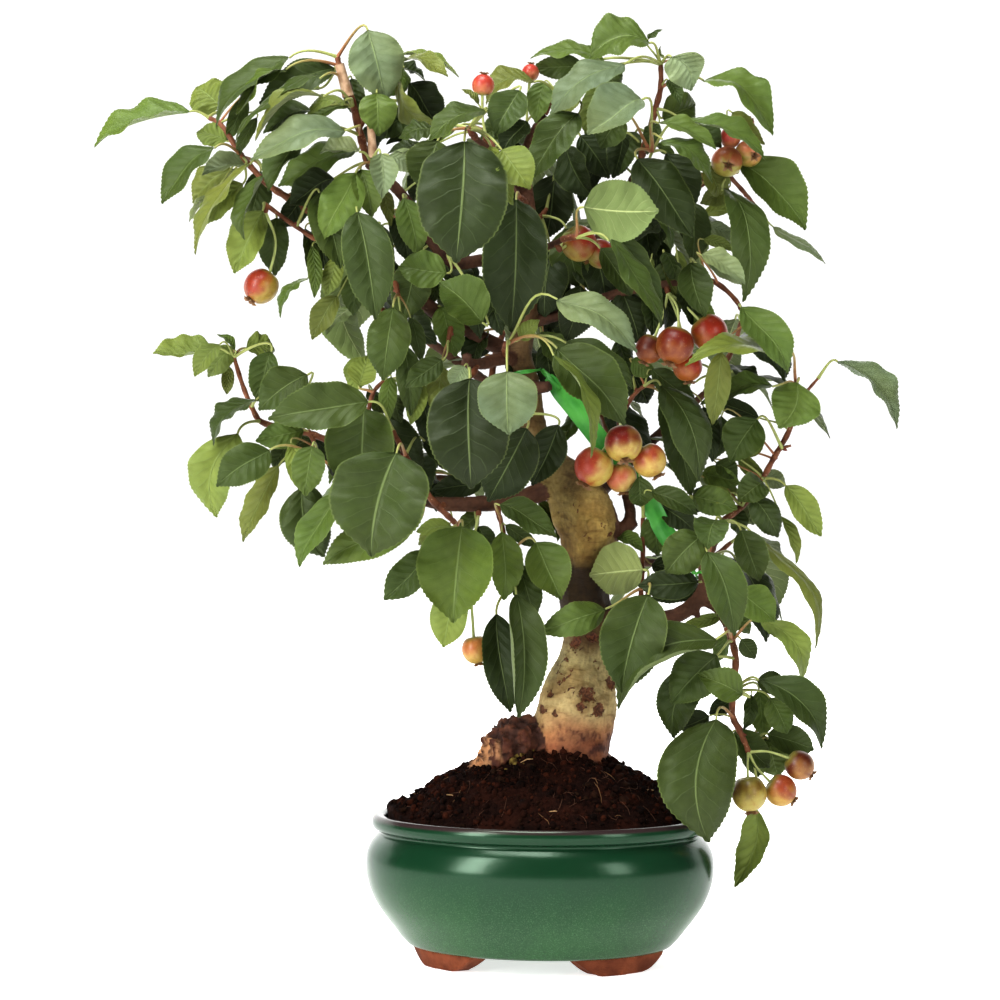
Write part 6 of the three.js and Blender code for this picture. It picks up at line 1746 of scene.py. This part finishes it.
def add_taut_run(piece):
    """The strip's taut stretch, folded lengthwise and pinched at both ends."""
    points = spots(STRIP_ROUTE)
    band = bmesh.new()
    bmesh.ops.create_grid(band, x_segments=60, y_segments=8, size=1)
    template = thickened(band, 0.02)
    x, y, z = template.points.T
    z = z - z.mean()
    z = z / np.abs(z).max()
    share = (x + 1) / 2
    laid = np.empty_like(template.points)
    for i in range(len(laid)):
        at = curve_point(points, share[i])
        after = curve_point(points, min(1, share[i] + 0.01)) - curve_point(points, max(0, share[i] - 0.01))
        ahead = after.normalized()
        front = Vector((0, -1, 0))
        front = (front - ahead * front.dot(ahead)).normalized()
        side = ahead.cross(front)
        pinch = 1 - 0.5 * math.exp(-(share[i] / 0.06) ** 2) - 0.5 * math.exp(-((1 - share[i]) / 0.06) ** 2)
        fold = 0.5 * math.sin(y[i] * 3 + share[i] * 9) + 0.3 * math.sin(y[i] * 7 - share[i] * 14)
        laid[i] = at + side * y[i] * 5.4 * pinch + front * (0.25 * z[i] + 0.8 * fold * pinch)
    piece.add(template, laid, PLAIN)


def add_strip():
    """The bare green strip: a loop round the upper trunk, its taut run, and a loop round the low limb."""
    piece = Piece("branch_tie_strip", "tie", ["strip"], ["branch_tie"])
    for loop in STRIP_LOOPS:
        add_loop(piece, *loop)
    add_taut_run(piece)
    for rows in STRIP_KNOTS:
        run, radii = smooth_run(rows, 6)
        bend_tube(piece, run, radii, 10, (PLAIN, PLAIN), flat=0.55,
                  relief=lambda angle, height: 1 + 0.16 * np.sin(3 * angle + 0.9 * height))
    piece.finish(sharp=40)


# ---- backdrop and light


def add_sheet(name, shape, seen):
    """A sheet of pale paper that glows a little, and more at its far edges."""
    bmesh.ops.recalc_face_normals(shape, faces=shape.faces)
    mesh = smooth_mesh(name, shape)
    finish = Finish(name, 0.1, Roughness=0.9, Emission_Strength=1.2)
    away = finish.node("ShaderNodeVectorMath", {"operation": "LENGTH"}, {0: finish.place()}, output=1)
    finish.set("Base Color", finish.mix(finish.noise(40.0) * 0.2, paint(246, 246, 246), paint(240, 240, 240)))
    finish.set("Emission Color", finish.mix(away.smooth(0.7, 2.4), (0.52, 0.52, 0.52, 1), (0.9, 0.9, 0.9, 1)))
    mesh.materials.append(finish.material)
    sheet = add_object(name, mesh)
    sheet.visible_camera = seen


def add_backdrop():
    """A wide pale floor, and a sweep of paper behind that the camera looks through and that only lights."""
    floor = bmesh.new()
    bmesh.ops.create_circle(floor, cap_ends=True, segments=96, radius=9)
    add_sheet("pale_floor", floor, True)
    sweep = bmesh.new()
    bmesh.ops.create_grid(sweep, x_segments=4, y_segments=60, size=1.1)
    bend = 0.9  # radius of the sweep between its floor and its wall
    for corner in sweep.verts:
        back = corner.co.y + 1.1
        turn = min(back / bend, math.pi / 2)
        height = bend * (1 - math.cos(turn)) + back - turn * bend + 0.002
        corner.co = (corner.co.x * 4.3, 0.8 + bend * math.sin(turn), height)
    add_sheet("back_paper", sweep, False)


def add_light(name, place, aim, size, power):
    light = bpy.data.lights.new(name, "AREA")
    light.shape = "RECTANGLE"
    light.size, light.size_y = size
    light.energy = power
    lamp = add_object(name, light)
    lamp.location = place
    lamp.rotation_euler = (Vector(aim) - Vector(place)).to_track_quat("-Z", "Y").to_euler()


def add_studio():
    """Soft lights in a dim room that the camera sees as white."""
    world = bpy.data.worlds.new("studio")
    world.use_nodes = True
    nodes, links = world.node_tree.nodes, world.node_tree.links
    dim, pale = nodes["Background"], nodes.new("ShaderNodeBackground")
    dim.inputs["Color"].default_value = pale.inputs["Color"].default_value = (1, 1, 1, 1)
    dim.inputs["Strength"].default_value = 0.1
    choice, path = nodes.new("ShaderNodeMixShader"), nodes.new("ShaderNodeLightPath")
    links.new(path.outputs["Is Camera Ray"], choice.inputs[0])
    links.new(dim.outputs[0], choice.inputs[1])
    links.new(pale.outputs[0], choice.inputs[2])
    links.new(choice.outputs[0], nodes["World Output"].inputs["Surface"])
    scene = bpy.context.scene
    scene.world = world
    scene.view_settings.view_transform = "Standard"
    scene.view_settings.gamma = 0.86
    scene.view_settings.exposure = 0.2
    add_light("window_left", (-1.05, -1.15, 0.78), (0.02, 0, 0.22), (0.42, 1.2), 27)
    add_light("window_right", (0.95, -1.3, 0.62), (0.02, 0, 0.2), (0.35, 0.8), 7)
    add_light("soft_top", (-0.25, -0.5, 1.6), (0, 0, 0.25), (0.8, 0.7), 26)
    add_light("soft_back", (0.2, 1.1, 1.3), (0, 0, 0.3), (1.6, 0.8), 6)


add_backdrop()
add_studio()
add_pot_body()
add_pot_feet()
add_soil()
finish_nets()
add_tree()
add_sprays()
add_inner_leaves()
for number, bunch in enumerate(BUNCHES):
    add_bunch(number, *bunch)
add_strip()

bpy.context.view_layer.update()
